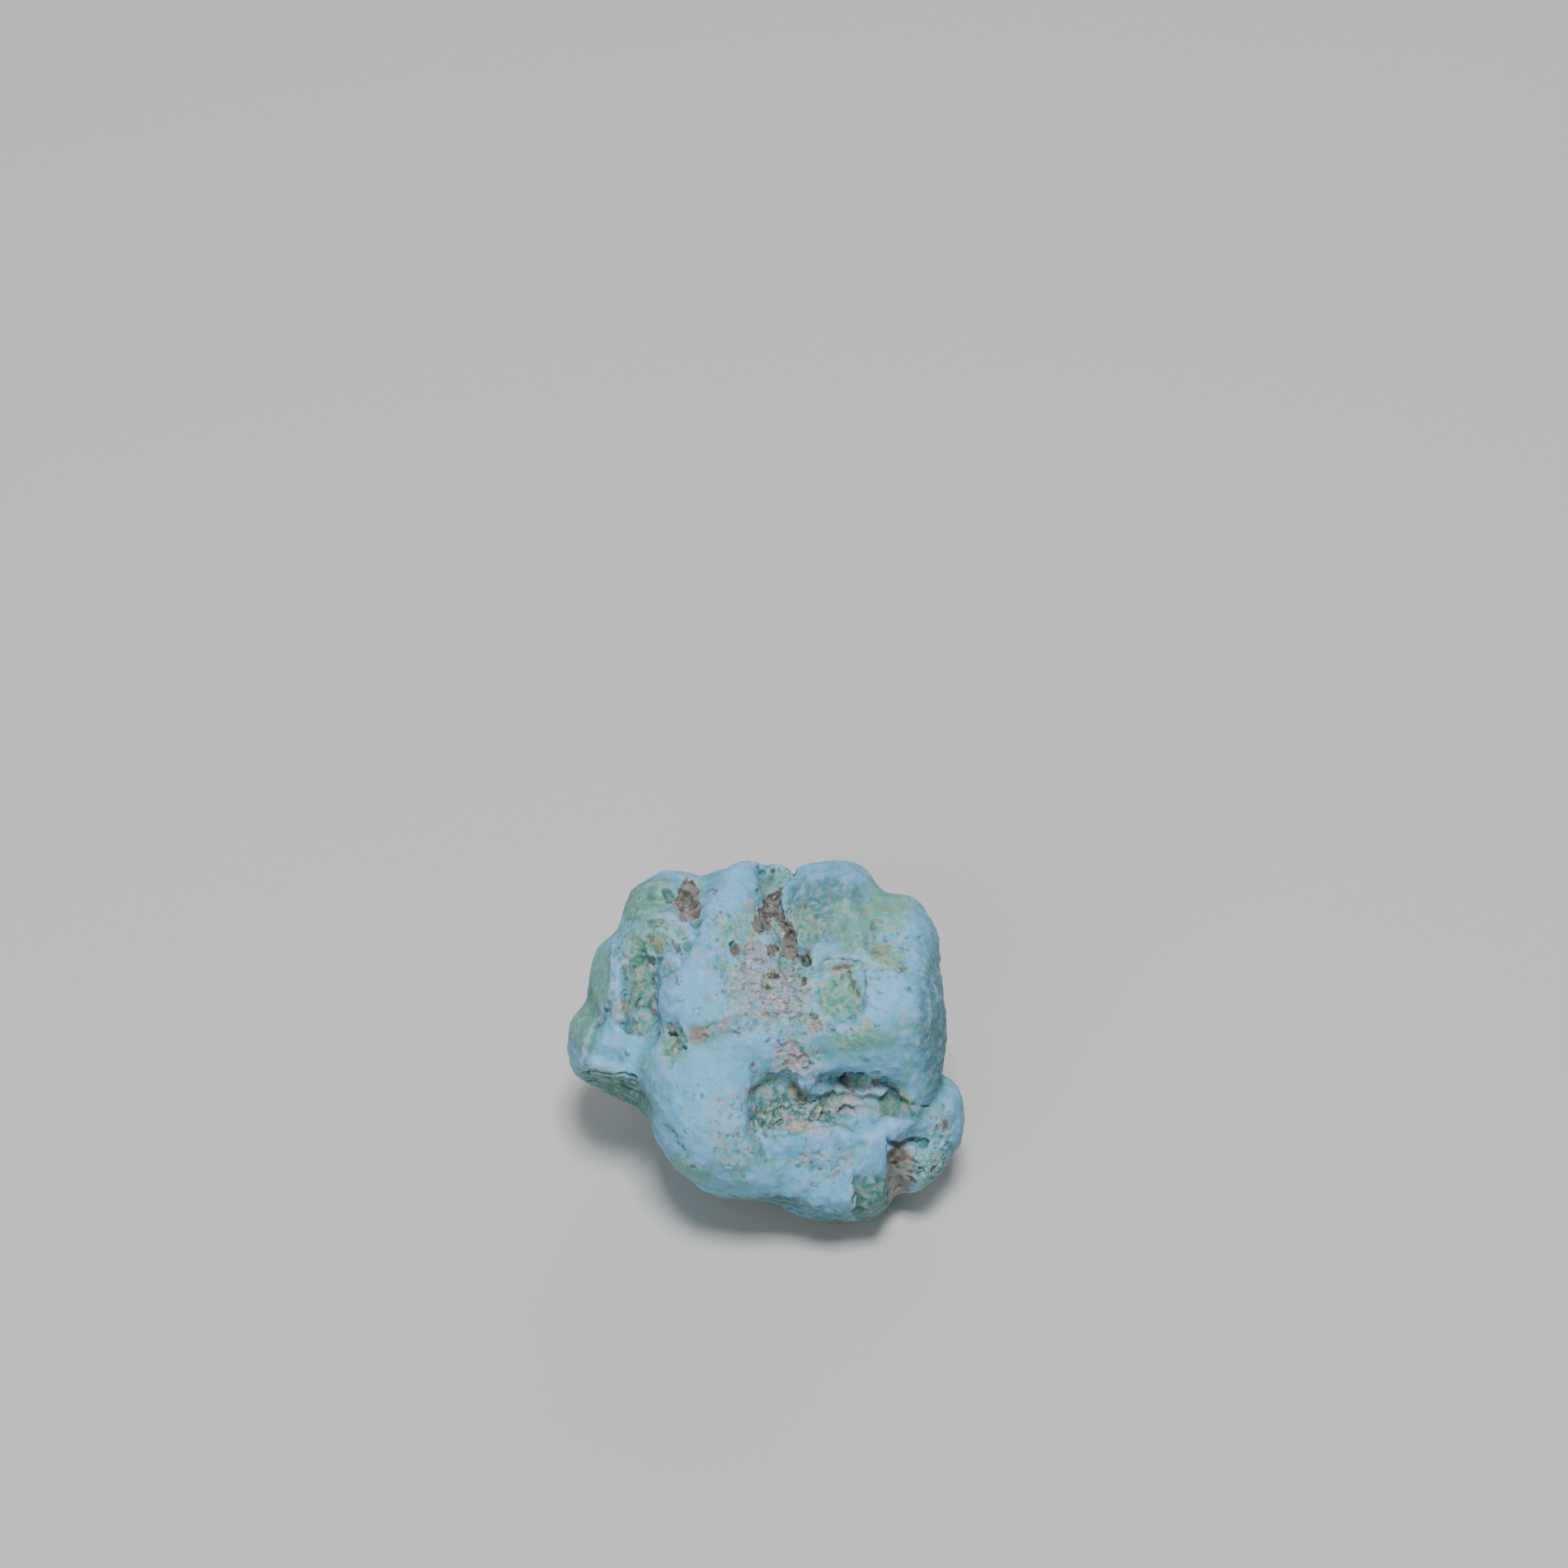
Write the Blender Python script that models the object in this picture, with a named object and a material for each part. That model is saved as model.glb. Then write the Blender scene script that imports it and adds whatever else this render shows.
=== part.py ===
"""A raw turquoise nugget, 30 mm across: one solid lump of stone that rests on a small worn flat.

Shapes are given in millimetres and the finished mesh is in metres. +X runs across the stone, -Y is
its front and +Z is up. The origin is the middle of the base, on the surface that it rests on.

The stone is shaped as clay would be. Rounded lobes are fused into one lump, pockets are pressed
into it, broken faces are cut at the back and below, furrows and ridges are drawn on it, and the
base is cut flat. All of that is a field, the distance from the skin at any point, and the mesh is
then pulled onto the skin.
"""

import math

import bmesh
import bpy
import numpy as np
from mathutils import Matrix, Vector, noise

MM = 0.001  # metres in a millimetre

# The best side of the stone, its show side, looks forward and up by this angle. Places are given
# as (across, up the side, out of the side), from the middle of the stone.
SHOW_ELEVATION = math.radians(48.0)
LEVEL = 42.0  # degrees that a lobe leans back from the show side to stand upright on the ground


def axes_of(turn):
    """A lobe's own three axes, as columns, after it leans back, yaws and rolls."""
    lean, yaw, roll = np.radians(turn)
    leaned = np.array(((1, 0, 0), (0, np.cos(lean), np.sin(lean)), (0, -np.sin(lean), np.cos(lean))))
    yawed = np.array(((np.cos(yaw), 0, np.sin(yaw)), (0, 1, 0), (-np.sin(yaw), 0, np.cos(yaw))))
    rolled = np.array(((np.cos(roll), -np.sin(roll), 0), (np.sin(roll), np.cos(roll), 0), (0, 0, 1)))
    return leaned @ yawed @ rolled


def lobe(points, middle, half, square, turn):
    """Distance from the skin of a squared-off egg, negative inside it."""
    q = np.maximum(np.abs((points - np.array(middle)) @ axes_of(turn)), 1e-4) / np.array(half)
    size = (q**square).sum(axis=1) ** (1 / square)
    slope = size ** (1 - square) * np.sqrt(((q ** (square - 1) / np.array(half)) ** 2).sum(axis=1))
    return (size - 1) / slope


def fused(a, b, blend):
    """Two skins joined by a fillet."""
    gap = np.maximum(blend - np.abs(a - b), 0) / blend
    return np.minimum(a, b) - gap**2 * blend / 4


def cut(a, b, blend):
    """Skin a with lobe b pressed out of it, and the edge softened."""
    return -fused(-a, b, blend)


LOBES = {
    # name: middle (across, up, out), half sizes, squareness, turn (lean, yaw, roll), blend
    "core": ((-0.5, 2.2, -2.7), (11.0, 9.2, 9.5), 2.3, (LEVEL, 0, 0), 1.0),
    "table": ((0.6, 3.8, 2.3), (9.6, 8.0, 5.4), 2.6, (LEVEL, 0, 0), 2.0),
    "right flank": ((8.4, 0.2, -4.2), (4.6, 7.5, 6.0), 2.5, (LEVEL, 0, 0), 1.0),
    "right block": ((8.2, 2.4, 2.0), (5.0, 7.5, 6.9), 3.2, (LEVEL + 6, 0, 6), 1.2),
    "right crown": ((5.1, 7.8, 1.3), (4.3, 6.0, 5.0), 2.3, (LEVEL, 0, 0), 1.0),
    "right knob": ((10.0, 7.2, 1.6), (2.3, 3.3, 4.2), 2.3, (0, 0, 0), 2.0),
    "centre ridge": ((-3.4, 6.9, 2.0), (2.6, 8.0, 4.8), 2.4, (LEVEL, 0, -22), 1.8),
    "left dome": ((-6.8, 7.3, 0.8), (4.1, 5.7, 5.0), 2.3, (LEVEL, 0, 0), 1.2),
    "pitted lump": ((-7.0, 7.5, 4.7), (2.0, 1.7, 1.9), 2.3, (0, 0, 0), 1.0),
    "left shoulder": ((-10.2, 3.9, 0.6), (2.2, 4.6, 4.8), 2.3, (0, 0, -8), 1.0),
    "left band": ((-10.9, 4.5, -1.6), (2.3, 3.7, 3.4), 2.3, (0, 0, -12), 0.6),
    "left corner": ((-12.5, -0.1, -1.0), (2.5, 2.8, 3.4), 2.4, (0, 0, 0), 0.9),
    "left ledge": ((-10.8, -0.9, 2.2), (3.2, 2.4, 2.8), 2.6, (0, 0, -12), 1.0),
    "left under": ((-9.9, -1.4, -2.4), (4.3, 2.7, 4.6), 2.5, (0, 0, -24), 0.5),
    "lower bulge": ((-4.0, -4.2, 2.2), (4.9, 7.1, 6.8), 2.3, (0, 0, 20), 1.5),
    "chin": ((-0.2, -7.9, 1.6), (3.8, 3.8, 5.2), 2.3, (0, 0, 0), 2.5),
    "front lobe": ((5.3, -8.7, 0.3), (5.1, 4.8, 5.4), 2.5, (0, 0, 0), 2.0),
    "front apron": ((4.2, -5.6, 1.4), (7.0, 4.4, 4.6), 2.3, (0, 0, 0), 2.5),
    "hanging lump": ((3.6, -2.2, 6.6), (1.6, 1.7, 2.0), 2.3, (0, 0, 0), 0.6),
    "right heel": ((11.3, -7.7, -0.8), (2.8, 3.8, 4.5), 2.3, (0, 0, -30), 0.8),
    "right lobe": ((12.8, -5.4, -0.5), (2.2, 2.8, 4.0), 2.3, (0, 0, 0), 0.6),
    "back hump": ((-1.0, 5.0, -6.1), (9.0, 7.5, 7.6), 2.5, (LEVEL, 0, 0), 1.5),
    "notch lump": ((1.0, 10.9, -2.0), (1.5, 2.6, 4.0), 2.3, (0, 0, 0), 0.5),
    "rear lump": ((6.8, 4.2, -9.7), (3.4, 3.2, 3.4), 2.3, (LEVEL, 0, 0), 1.0),
    "rear heel": ((-6.8, 2.0, -9.6), (3.6, 3.4, 3.0), 2.4, (LEVEL, 0, 20), 1.0),
    "foot": ((0.0, -1.9, -5.0), (9.0, 8.5, 7.0), 2.4, (LEVEL, 0, 0), 1.5),
}

POCKETS = {
    # name: middle, half sizes, squareness, turn, softness of the edge
    "cavity": ((7.0, -4.6, 8.4), (4.0, 2.3, 4.5), 2.5, (0, 0, -8), 0.6),
    "cavity's left end": ((1.9, -4.7, 9.2), (3.2, 2.0, 3.8), 2.3, (0, 0, 14), 1.2),
    "under the corner": ((12.6, -7.3, 7.6), (3.2, 2.4, 4.4), 2.6, (0, 0, 0), 0.4),
    "under the ledge": ((-12.0, -4.6, 4.4), (3.4, 1.9, 3.6), 2.8, (0, 0, -14), 0.4),
    "pink hollow": ((10.2, -10.6, 3.3), (1.1, 3.1, 3.2), 2.5, (0, 0, -4), 0.9),
    "square hollow": ((5.6, 3.8, 10.9), (1.8, 2.1, 2.5), 4.0, (20, 0, 0), 0.4),
    "rear crease": ((6.4, 11.3, -8.9), (0.9, 1.8, 5.6), 2.3, (LEVEL, 18, 0), 0.5),
    "flank hollow": ((14.6, 1.0, -3.4), (1.9, 4.6, 2.4), 2.4, (LEVEL, 0, 0), 0.8),
}

FLATS = {
    # name: the way the broken face looks, its distance from the middle, softness of its edges
    "back left": ((-0.55, 0.73, -0.40), 13.9, 0.5),
    "back right": ((0.30, 0.80, -0.52), 13.3, 0.5),
    "back": ((-0.10, 0.35, -0.93), 14.0, 0.5),
    "back foot": ((0.25, 0.05, -0.97), 13.2, 0.5),
    "left foot": ((-0.50, -0.45, -0.74), 11.8, 0.5),
    "right foot": ((0.50, -0.30, -0.81), 13.0, 0.5),
    "left flank": ((-0.80, 0.10, -0.59), 14.3, 0.5),
    "right flank": ((0.93, 0.20, -0.30), 13.7, 0.5),
    "under the front lobe": ((-0.12, -0.96, 0.26), 12.45, 1.0),
}

FURROWS = {
    # name: route (across, up) over the skin, half width, depth; a negative depth raises a ridge
    "quartz valley": (((0.4, 12.6), (0.9, 11.0), (1.5, 8.5), (2.1, 5.8)), 1.0, 1.9),
    "slot on the left dome": (((-5.6, 11.8), (-5.7, 10.6), (-5.5, 9.2)), 0.8, 1.2),
    "left hollow": (((-8.8, 6.0), (-9.2, 4.4), (-9.1, 2.6), (-8.7, 1.4)), 1.3, 1.8),
    "seam crack": (((-5.3, 0.4), (-3.6, 0.7), (-2.0, 1.2), (0.5, 1.9)), 0.5, 0.4),
    "green recess": (((-7.2, 0.6), (-6.6, -0.6)), 0.8, 0.7),
    "shoulder ridge": (((-10.7, 5.4), (-11.0, 3.4), (-11.0, 1.6)), 0.7, -0.6),
    "ledge hollow": (((-12.0, -0.8), (-11.0, -1.4)), 0.8, 0.6),
}


WANDER = 0.6  # how far the waves push the stone about
WANDER_SPACING = 15.0
WANDER_WAVES = 6
WANDER_SEED = 4
WANDER_DEPTH = -2.4  # the waves fade in at this level, behind the show side
WANDER_FADE = 1.2


def wandered(points):
    """The points pushed about a little behind the show side, so that no lobe is a perfect egg."""
    waves = np.random.default_rng(WANDER_SEED).normal(size=(3, 3, WANDER_WAVES))
    waves *= 2 * np.pi / WANDER_SPACING
    push = [np.sin(points @ wave + np.arange(WANDER_WAVES)).sum(axis=1) / 3 for wave in waves]
    behind = 1 / (1 + np.exp((points[:, 2] - WANDER_DEPTH) / WANDER_FADE))
    return points + (WANDER * behind)[:, None] * np.stack(push, axis=1)


def body_field(points):
    """Distance from the skin of the fused and pressed stone, negative inside, before the furrows."""
    points = wandered(points)
    skin = None
    for middle, half, square, turn, blend in LOBES.values():
        shape = lobe(points, middle, half, square, turn)
        skin = shape if skin is None else fused(skin, shape, blend)
    for middle, half, square, turn, blend in POCKETS.values():
        skin = cut(skin, lobe(points, middle, half, square, turn), blend)
    for facing, reach, blend in FLATS.values():
        skin = cut(skin, reach - points @ (np.array(facing) / math.hypot(*facing)), blend)
    return skin


LEG = 0.5  # a furrow's route is a row of straight legs of about this length
CLEAR_OF_STONE = 16.0
DROPS = 60
CAUTION = 0.7  # the share of each measured distance that a point moves by, so it doesn't overshoot


def on_skin(route):
    """A route's points, each dropped onto the show side of the stone."""
    legs = [np.linspace(a, b, 2 + int(math.dist(a, b) / LEG)) for a, b in zip(route, route[1:])]
    flat = np.concatenate(legs)
    points = np.column_stack((flat, np.full(len(flat), CLEAR_OF_STONE)))
    for _ in range(DROPS):
        points[:, 2] -= CAUTION * np.clip(body_field(points), -0.5, 2.0)
    return points


def off_line(points, line):
    """Distance of each point from a line of short straight legs."""
    nearest = np.full(len(points), np.inf)
    for start, end in zip(line, line[1:]):
        run = end - start
        share = np.clip((points - start) @ run / max(run @ run, 1e-9), 0, 1)
        nearest = np.minimum(nearest, np.linalg.norm(points - start - share[:, None] * run, axis=1))
    return nearest


DRAWN = [(on_skin(route), half_width, depth) for route, half_width, depth in FURROWS.values()]


def stone_field(points):
    """Distance from the finished skin, negative inside."""
    skin = body_field(points)
    for line, half_width, depth in DRAWN:
        skin = skin + depth * np.exp(-((off_line(points, line) / half_width) ** 2))
    return skin


# From the field to a mesh.
BASE_DEPTH = 11.3  # the flat of the base lies this far below the middle of the stone
CLAY = 0.4  # the fineness of the clay while the stone is shaped
SWELL = 0.16  # height of the low swells all over the skin
SWELL_SPACING = 2.4
SHORTEST_EDGE = 0.02
FACE_BUDGET = 9400  # triangles, before the base is cut
SHOW_AXES = np.array(
    (
        (1, 0, 0),
        (0, math.sin(SHOW_ELEVATION), math.cos(SHOW_ELEVATION)),
        (0, -math.cos(SHOW_ELEVATION), math.sin(SHOW_ELEVATION)),
    )
)
TURQUOISE = (0.26, 0.50, 0.54, 1.0)
WAXY_ROUGHNESS = 0.62


def clear_scene():
    for obj in list(bpy.data.objects):
        bpy.data.objects.remove(obj, do_unlink=True)


def rough_lump():
    """A ball for each lobe, all in one mesh, in the show side's own axes."""
    lump = bmesh.new()
    for middle, half, _, turn, _ in LOBES.values():
        ball = bmesh.ops.create_icosphere(lump, subdivisions=4, radius=1.0)["verts"]
        points = np.array([vertex.co for vertex in ball]) * half @ axes_of(turn).T + middle
        for vertex, point in zip(ball, points):
            vertex.co = point
    mesh = bpy.data.meshes.new("rough lump")
    lump.to_mesh(mesh)
    lump.free()
    stone = bpy.data.objects.new("nugget", mesh)
    bpy.context.collection.objects.link(stone)
    return stone


def apply_modifier(stone, kind, **settings):
    """Run one modifier on the stone and keep its result as the stone's mesh."""
    modifier = stone.modifiers.new(kind.title(), kind)
    for name, value in settings.items():
        setattr(modifier, name, value)
    graph = bpy.context.evaluated_depsgraph_get()
    result = bpy.data.meshes.new_from_object(stone.evaluated_get(graph))
    stone.modifiers.clear()
    stone.data = result


def skin_points(stone):
    points = np.empty(len(stone.data.vertices) * 3)
    stone.data.vertices.foreach_get("co", points)
    return points.reshape(-1, 3)


def set_skin(stone, points):
    stone.data.vertices.foreach_set("co", points.ravel())
    stone.data.update()


def settle(stone, rounds):
    """Move every vertex of the stone onto the skin that the field gives."""
    points = skin_points(stone)
    reach = 0.02
    for _ in range(rounds):
        sides = [stone_field(points + reach * a) - stone_field(points - reach * a) for a in np.eye(3)]
        uphill = np.stack(sides, axis=1) / (2 * reach)
        step = stone_field(points)[:, None] * uphill / (uphill**2).sum(axis=1)[:, None]
        points -= CAUTION * np.clip(step, -0.5, 0.5)
    set_skin(stone, points)


def swell(stone):
    """Give the skin the low, uneven swells of a worn stone."""
    for vertex in stone.data.vertices:
        height = noise.fractal(vertex.co / SWELL_SPACING, 1.0, 2.0, 3)
        vertex.co += SWELL * height * vertex.normal
    stone.data.update()


def stand_up(stone):
    """Turn the stone from the show side's axes to the ground's, at real size, base cut flat."""
    set_skin(stone, skin_points(stone) @ SHOW_AXES)
    body = bmesh.new()
    body.from_mesh(stone.data)
    everything = body.verts[:] + body.edges[:] + body.faces[:]
    base = Vector((0, 0, -BASE_DEPTH))
    bmesh.ops.bisect_plane(
        body, geom=everything, plane_co=base, plane_no=(0, 0, -1), clear_outer=True, dist=0.001
    )
    bmesh.ops.holes_fill(body, edges=[edge for edge in body.edges if edge.is_boundary])
    bmesh.ops.dissolve_degenerate(body, dist=SHORTEST_EDGE, edges=body.edges)
    corners = np.array([vertex.co for vertex in body.verts])
    middle = (corners.min(axis=0) + corners.max(axis=0)) / 2
    body.transform(Matrix.Scale(MM, 4) @ Matrix.Translation((-middle[0], -middle[1], BASE_DEPTH)))
    body.to_mesh(stone.data)
    body.free()


def turquoise():
    stone = bpy.data.materials.new("turquoise")
    stone.use_nodes = True
    shader = stone.node_tree.nodes["Principled BSDF"]
    shader.inputs["Base Color"].default_value = TURQUOISE
    shader.inputs["Roughness"].default_value = WAXY_ROUGHNESS
    return stone


clear_scene()
nugget = rough_lump()
apply_modifier(nugget, "REMESH", mode="VOXEL", voxel_size=CLAY)
settle(nugget, rounds=7)
apply_modifier(nugget, "REMESH", mode="VOXEL", voxel_size=CLAY)
settle(nugget, rounds=3)
swell(nugget)
apply_modifier(nugget, "SMOOTH", factor=0.5, iterations=2)
face_count = sum(len(face.vertices) - 2 for face in nugget.data.polygons)
apply_modifier(nugget, "DECIMATE", ratio=FACE_BUDGET / face_count)
stand_up(nugget)
nugget.data.materials.append(turquoise())
nugget.data.shade_smooth()
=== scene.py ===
# %% [markdown]
# A raw turquoise nugget, 30 mm across. It is one lump of stone, so the scene has one piece. It could
# be sculpted freely, but then it would drift from the solid that physics uses. So the solid's own
# skin is copied, refined and carved, and it keeps its size and its place.

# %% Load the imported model
import math

import bpy
import numpy as np
from mathutils import Matrix, Vector, noise


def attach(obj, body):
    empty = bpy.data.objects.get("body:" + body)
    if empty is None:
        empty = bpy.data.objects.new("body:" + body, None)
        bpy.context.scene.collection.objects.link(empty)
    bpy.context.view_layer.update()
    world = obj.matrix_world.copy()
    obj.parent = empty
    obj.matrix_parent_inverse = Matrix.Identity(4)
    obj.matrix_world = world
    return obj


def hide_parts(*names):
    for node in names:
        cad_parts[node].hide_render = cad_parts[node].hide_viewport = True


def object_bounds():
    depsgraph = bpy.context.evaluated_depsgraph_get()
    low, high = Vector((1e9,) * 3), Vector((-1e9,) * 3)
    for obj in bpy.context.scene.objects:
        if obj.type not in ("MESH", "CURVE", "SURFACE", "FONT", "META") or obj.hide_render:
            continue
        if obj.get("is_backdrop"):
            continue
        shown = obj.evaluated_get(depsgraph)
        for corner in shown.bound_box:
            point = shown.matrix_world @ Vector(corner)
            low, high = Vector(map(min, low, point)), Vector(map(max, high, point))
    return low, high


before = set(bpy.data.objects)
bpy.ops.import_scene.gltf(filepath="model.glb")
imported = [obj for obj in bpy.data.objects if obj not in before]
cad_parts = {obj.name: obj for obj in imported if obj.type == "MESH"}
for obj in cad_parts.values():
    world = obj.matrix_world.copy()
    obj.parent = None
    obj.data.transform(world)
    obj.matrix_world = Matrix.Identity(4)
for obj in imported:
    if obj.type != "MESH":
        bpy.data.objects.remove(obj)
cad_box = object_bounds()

MM = 0.001  # metres in a millimetre
print("the solid's box, in mm:", [[round(side / MM, 2) for side in corner] for corner in cad_box])

# %% [markdown]
# The stone is looked at from the front and from 48 degrees above it, so most of the work is on that
# side, its show side. Places on the stone could be given in the ground's axes, but every mark would
# then need three numbers that are hard to picture. They are given as (across, up the side, out of
# it) instead, in millimetres from the stone's middle, which is how a hand would point at them.

# %% The show side's own axes
SHOW_ELEVATION = math.radians(48)
MIDDLE = np.array((-0.068, -1.342, 11.3))  # the stone's middle, above the origin under its base
SHOW_AXES = np.array(
    (
        (1, 0, 0),
        (0, math.sin(SHOW_ELEVATION), math.cos(SHOW_ELEVATION)),
        (0, -math.cos(SHOW_ELEVATION), math.sin(SHOW_ELEVATION)),
    )
)


def to_show(points):
    """Points in metres on the ground's axes, as (across, up, out) in millimetres."""
    return (points / MM - MIDDLE) @ SHOW_AXES.T


def to_ground(places):
    """Places (across, up, out) in millimetres, as points in metres on the ground's axes."""
    return (places @ SHOW_AXES + MIDDLE) * MM


print("the show side looks along", SHOW_AXES[2].round(3))

# %% [markdown]
# The camera is a long lens at about a third of a metre, as for a close view of small stones. It
# could be aimed straight at the nugget, but the nugget sits low in its frame, so the axis is
# raised until the nugget falls on its own spot. The lens isn't shifted, so other views stay true.

# %% Camera
FRAME_WIDTH = 1932  # pixels
NUGGET_SPOT = (943, 1283)  # pixels from the frame's upper left corner to the stone's middle
NUGGET_WIDTH = 491  # pixels
STONE_WIDTH = 30.0  # mm
LENS = 100.0  # mm
SENSOR = 36.0  # mm
NEAREST = 0.01  # metres, the nearest thing that the camera draws
pixel = SENSOR / FRAME_WIDTH
spot_right = (NUGGET_SPOT[0] - FRAME_WIDTH / 2) * pixel
spot_down = (NUGGET_SPOT[1] - FRAME_WIDTH / 2) * pixel
depth = LENS * STONE_WIDTH / (NUGGET_WIDTH * pixel)
axis_elevation = SHOW_ELEVATION - math.atan(spot_down / LENS)
turn = Matrix.Rotation(math.pi / 2 - axis_elevation, 4, "X")
sight = turn @ Vector((spot_right, -spot_down, -LENS)) * (depth / LENS)

bpy.ops.object.camera_add()
camera = bpy.context.object
camera.matrix_world = Matrix.Translation((Vector(MIDDLE) - sight) * MM) @ turn
camera.data.lens = LENS
camera.data.sensor_width = SENSOR
camera.data.clip_start = NEAREST
bpy.context.scene.camera = camera
print("the lens is", round(depth), "mm away and looks down by", round(math.degrees(axis_elevation), 1))

# %% [markdown]
# The stone stands on a plain pale floor. It could stand on a curved backdrop, but the camera looks
# down, so a flat plane wider than any view of it is enough.

# %% Floor
FLOOR_WIDTH = 3.0  # metres
FLOOR_COLOUR = (0.55, 0.55, 0.54, 1)
FLOOR_ROUGHNESS = 0.8
bpy.ops.mesh.primitive_plane_add(size=FLOOR_WIDTH)
floor = bpy.context.object
floor.name = "floor"
pale = bpy.data.materials.new("pale floor")
pale.use_nodes = True
paint = pale.node_tree.nodes["Principled BSDF"]
paint.inputs["Base Color"].default_value = FLOOR_COLOUR
paint.inputs["Roughness"].default_value = FLOOR_ROUGHNESS
floor.data.materials.append(pale)
floor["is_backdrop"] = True
print("floor:", floor.dimensions[:2])

# %% [markdown]
# Relief shows when one light is stronger than the rest. A lamp near the ground would throw long
# shadows, so the key light hangs overhead, a little in front, and is small enough to mark each
# crack. Three wide lamps and the dim blue of the room keep the shadows open.

# %% Lights
LIGHTS = {
    # name: place, width in metres, power in watts
    "key light": ((0.02, -0.16, 0.70), 0.18, 5.5),
    "fill light": ((-0.30, -0.60, 0.45), 0.50, 1.7),
    "back light": ((0.20, 0.70, 0.30), 0.50, 1.6),
    "side light": ((-0.70, 0.35, 0.25), 0.50, 0.8),
}
ROOM_COLOUR = (0.90, 0.95, 1.0, 1)
ROOM_STRENGTH = 0.13
for name, (place, width, power) in LIGHTS.items():
    bpy.ops.object.light_add(type="AREA", location=place)
    light = bpy.context.object
    light.name = name
    light.data.size = width
    light.data.energy = power
    light.rotation_euler = (-Vector(place)).to_track_quat("-Z", "Y").to_euler()
room = bpy.data.worlds.new("studio")
room.use_nodes = True
room.node_tree.nodes["Background"].inputs["Color"].default_value = ROOM_COLOUR
room.node_tree.nodes["Background"].inputs["Strength"].default_value = ROOM_STRENGTH
bpy.context.scene.world = room
print(len(LIGHTS), "lights,", sum(power for _, _, power in LIGHTS.values()), "W in all")

# %% [markdown]
# The stone is carved as one lump of clay. Extruding and bevelling suit made things, with their
# straight edges, but nothing on a broken stone is straight, and no primitive is near its shape. So
# the solid's skin is duplicated, and the loose triangles that it came in are joined up first.

# %% Copy the solid's skin
SAME_POINT = 0.001  # mm, corners nearer than this are one corner
bpy.ops.object.select_all(action="DESELECT")
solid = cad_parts["nugget"]
solid.select_set(True)
bpy.context.view_layer.objects.active = solid
bpy.ops.object.duplicate()
stone = bpy.context.object
stone.name = "turquoise.nugget"
bpy.ops.object.mode_set(mode="EDIT")
bpy.ops.mesh.select_all(action="SELECT")
bpy.ops.mesh.remove_doubles(threshold=SAME_POINT * MM)
bpy.ops.object.mode_set(mode="OBJECT")
print("the solid's skin:", len(stone.data.polygons), "triangles")

# %% [markdown]
# A skin of large triangles can't hold a crack. Subdividing would keep the triangles' outlines, so
# the skin is remeshed into small even squares, and a few rounds of smoothing take away the flats of
# the triangles before anything is cut.

# %% Make fine clay of it
FORMS_CLAY = 0.16  # mm, the width of a square of clay while the forms are carved
FLATS_SMOOTHING = 8  # rounds


def apply_modifier(kind, **settings):
    """Add one modifier to the stone, set it and apply it."""
    bpy.ops.object.modifier_add(type=kind)
    modifier = stone.modifiers[-1]
    for name, value in settings.items():
        setattr(modifier, name, value)
    bpy.ops.object.modifier_apply(modifier=modifier.name)


def remade(square, rounds):
    """Remesh the stone into squares this wide in mm, and smooth it this many rounds."""
    apply_modifier("REMESH", mode="VOXEL", voxel_size=square * MM)
    apply_modifier("SMOOTH", factor=0.5, iterations=rounds)
    print("clay points:", len(stone.data.vertices))


remade(FORMS_CLAY, FLATS_SMOOTHING)

# %% [markdown]
# A sculptor's tool moves many points at once. Moving them one by one in Python is slow, so every
# point is read into one array, in the show side's axes, moved by arithmetic, and written back.

# %% Read and write the skin
def read(kind):
    """Every point's place ("co") or normal ("normal"), in the show side's axes."""
    flat = np.empty(len(stone.data.vertices) * 3)
    stone.data.vertices.foreach_get(kind, flat)
    rows = flat.reshape(-1, 3)
    return to_show(rows) if kind == "co" else rows @ SHOW_AXES.T


def write(places):
    """Put every point at its new place."""
    stone.data.vertices.foreach_set("co", to_ground(places).ravel())
    stone.data.update()


print("the skin's box, in mm:", read("co").min(axis=0).round(1), read("co").max(axis=0).round(1))

# %% [markdown]
# Nothing on a stone is even, so every tool is led by a little noise. One kind gives smooth random
# heights, for swells. Another pushes places about, so that a round mark drawn through them comes out
# ragged. A texture could do it too, but plain numbers can also steer the colours later. Blender
# starts the second kind from the clock, so it is given a seed, and the stone is the same every time.

# %% Noise
NOISE_SEED = 2
SWELL_SHIFT = 7.31  # spacings between the places that two seeds start from
PUSH_SHIFT = 5.17
FADE = 1.0  # how quickly finer octaves get lower
FINER = 2.0  # how many times finer each octave is
noise.seed_set(NOISE_SEED)


def scattered(places, spacing, shift):
    """Each place as a point of the noise, which is one unit wide where the stone has one spacing."""
    return (places / spacing + shift).tolist()


def bumps(places, spacing, octaves, seed):
    """A smooth random height at each place, about -1 to 1, its bumps one spacing apart."""
    points = scattered(places, spacing, seed * SWELL_SHIFT)
    return np.array([noise.fractal(point, FADE, FINER, octaves) for point in points])


def shaken(places, spacing, distance, seed):
    """The places pushed about by up to this distance in mm."""
    pushes = [noise.noise_vector(point) for point in scattered(places, spacing, seed * PUSH_SHIFT)]
    return places + distance * np.array(pushes)


def ramp(values, low, high):
    """Values eased from 0 at low to 1 at high."""
    share = np.clip((values - low) / (high - low), 0, 1)
    return share * share * (3 - 2 * share)


print("a swell at the middle:", bumps(np.zeros((1, 3)), 3.0, 4, 0).round(2))

# %% [markdown]
# Where the stone broke, it has small flat facets that meet at edges. Smooth noise has no edges, so
# space is divided into cells by scattered seeds, and each cell gets a flat top that tilts its own
# way.

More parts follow.
